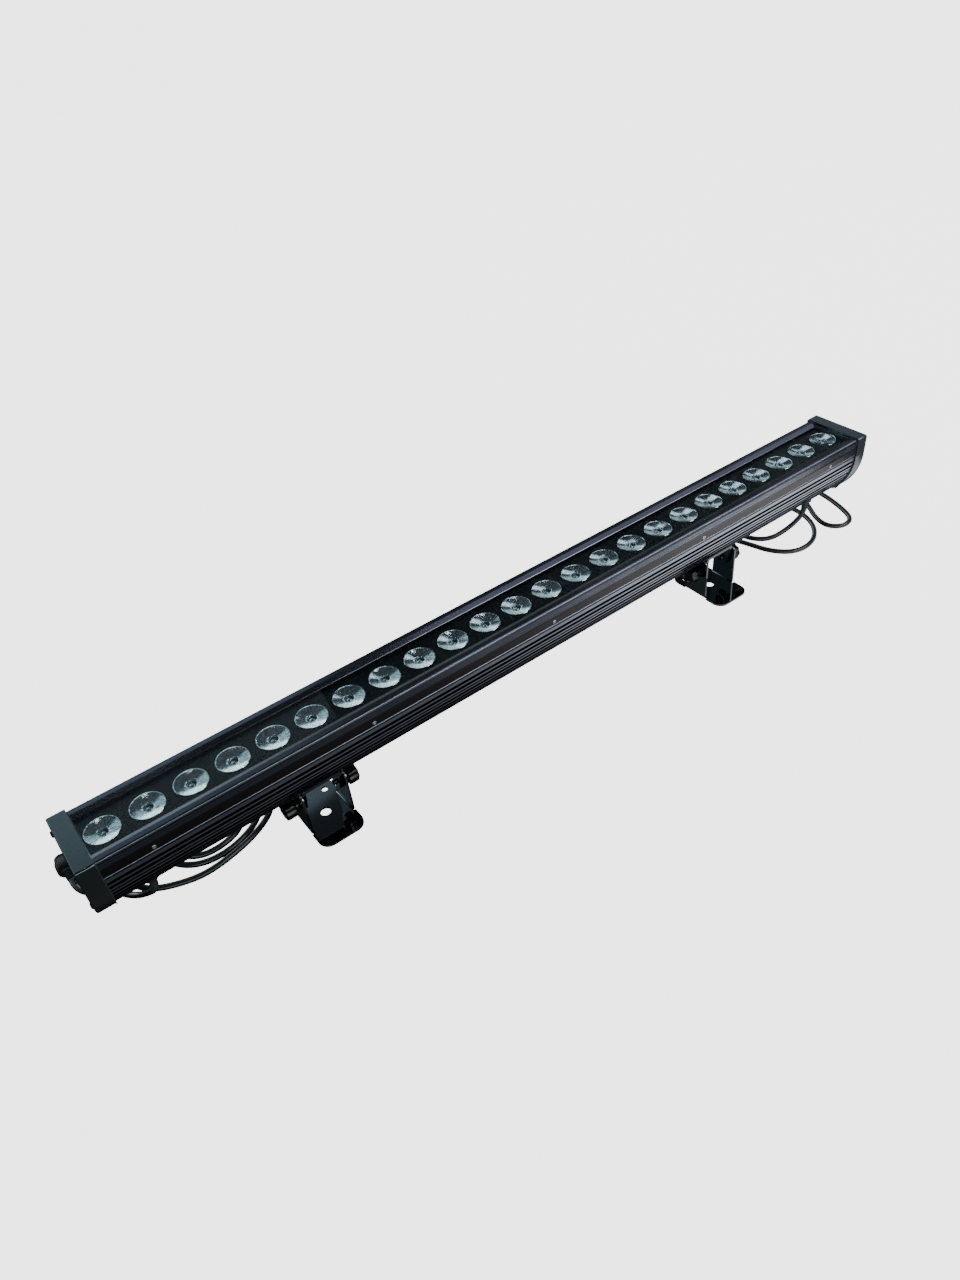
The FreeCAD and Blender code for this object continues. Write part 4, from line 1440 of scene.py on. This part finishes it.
class Floodlight:
    """The whole light: CAD nodes with their finishes, and the pieces made here."""

    def __init__(self) -> None:
        """Build every finish."""
        effects = Effects()
        self.materials = {look: look.value.build(effects) for look in Look}

    @staticmethod
    def settle(piece: bpy.types.Object, look: Look, node: str = "",
               body: Body = Body.HOUSING) -> None:
        """Hang a piece on the body that it rides on and hide the CAD node that it replaces, if
        any.

        Args:
            piece: The piece.
            look: Its finish; not used.
            node: CAD node that it replaces, if any.
            body: Body that it rides on.
        """
        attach(piece, body.value)
        if node:
            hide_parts(node)
        LOG.info("made %s", piece.name)

    def finish_nodes(self) -> None:
        """Give every CAD node its material."""
        for look, material in self.materials.items():
            for name in look.value.nodes:
                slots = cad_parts[name].data.materials
                for place in range(len(slots)):
                    slots[place] = material
                if not slots:
                    slots.append(material)
                LOG.info("finish %s: %s", material.name, name)

    def soften_edges(self) -> None:
        """Round the sharp edges of some CAD nodes a little, so that they catch light."""
        for name, width in SOFT_EDGES.items():
            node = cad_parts[name]
            weld = node.modifiers.new("weld", "WELD")
            weld.merge_threshold = WELD_DISTANCE
            bevel = node.modifiers.new("edges", "BEVEL")
            bevel.width = width * MM
            bevel.segments = 2
            bevel.limit_method = "ANGLE"
            bevel.angle_limit = math.radians(SHARP_ANGLE)
            bevel.harden_normals = True

    def build_cords(self) -> None:
        """Make both cords with their plugs, lock rings and strain reliefs."""
        moulded = self.materials[Look.PLUG]
        for cord in (LEFT_CORD, RIGHT_CORD):
            word = cord.side.name.lower()
            place = Matrix.Translation(cord.end) @ Matrix.Rotation(-QUARTER_TURN, 4, "X")
            line = cord.build(self.materials[Look.JACKET])
            plug = PlugParts().build_plug(word + "_plug", place, moulded)
            ring = PlugParts().build_ring(word + "_plug_ring", place, moulded)
            self.settle(line, Look.JACKET, "cords")
            self.settle(plug, Look.PLUG, "cord_plugs")
            self.settle(ring, Look.PLUG, "plug_rings")
            relief = StrainRelief().build(word + "_relief", line, cord.exit,
                                          self.materials[Look.RUBBER])
            self.settle(relief, Look.RUBBER, "gland_seals")

    def build_seals(self) -> None:
        """Make the sealant between the caps and the bar."""
        self.settle(CapSeal().build(self.materials[Look.SEALANT]), Look.SEALANT, "cap_gaskets")

    def build_lenses(self) -> None:
        """Make the lens row."""
        self.settle(LensRow().build(self.materials[Look.LENS]), Look.LENS, "lenses")

    def build_knobs(self) -> None:
        """Make the four hand knobs."""
        for knob in KNOBS:
            word = knob.body.value.replace("_clamp", "")
            piece = knob.build(word + "_grip", self.materials[Look.KNOB])
            self.settle(piece, Look.KNOB, word + "_knob", knob.body)

    def build_screws(self) -> None:
        """Make the heads of the side screws and of the cap screws."""
        for heads in (SIDE_SCREWS, CAP_SCREWS):
            self.settle(heads.build(self.materials[heads.look]), heads.look, heads.node)

    def build_edges(self) -> None:
        """Make the rounded edges of the cover rails and the section's lips under them, in a
        lighter metal that is a painted highlight.
        """
        for line in (PARTING_LIPS, RAIL_EDGES):
            self.settle(line.build(self.materials[Look.HIGHLIGHT_EDGE]), Look.HIGHLIGHT_EDGE)


def main() -> None:
    """Build the scene in order."""
    logging.basicConfig(level=logging.INFO, format="%(message)s")
    PhotoCamera().build()
    Studio().build()
    light = Floodlight()
    light.build_cords()
    light.finish_nodes()
    light.soften_edges()
    light.build_seals()
    light.build_lenses()
    light.build_knobs()
    light.build_screws()
    light.build_edges()


if __name__ == "__main__":
    main()
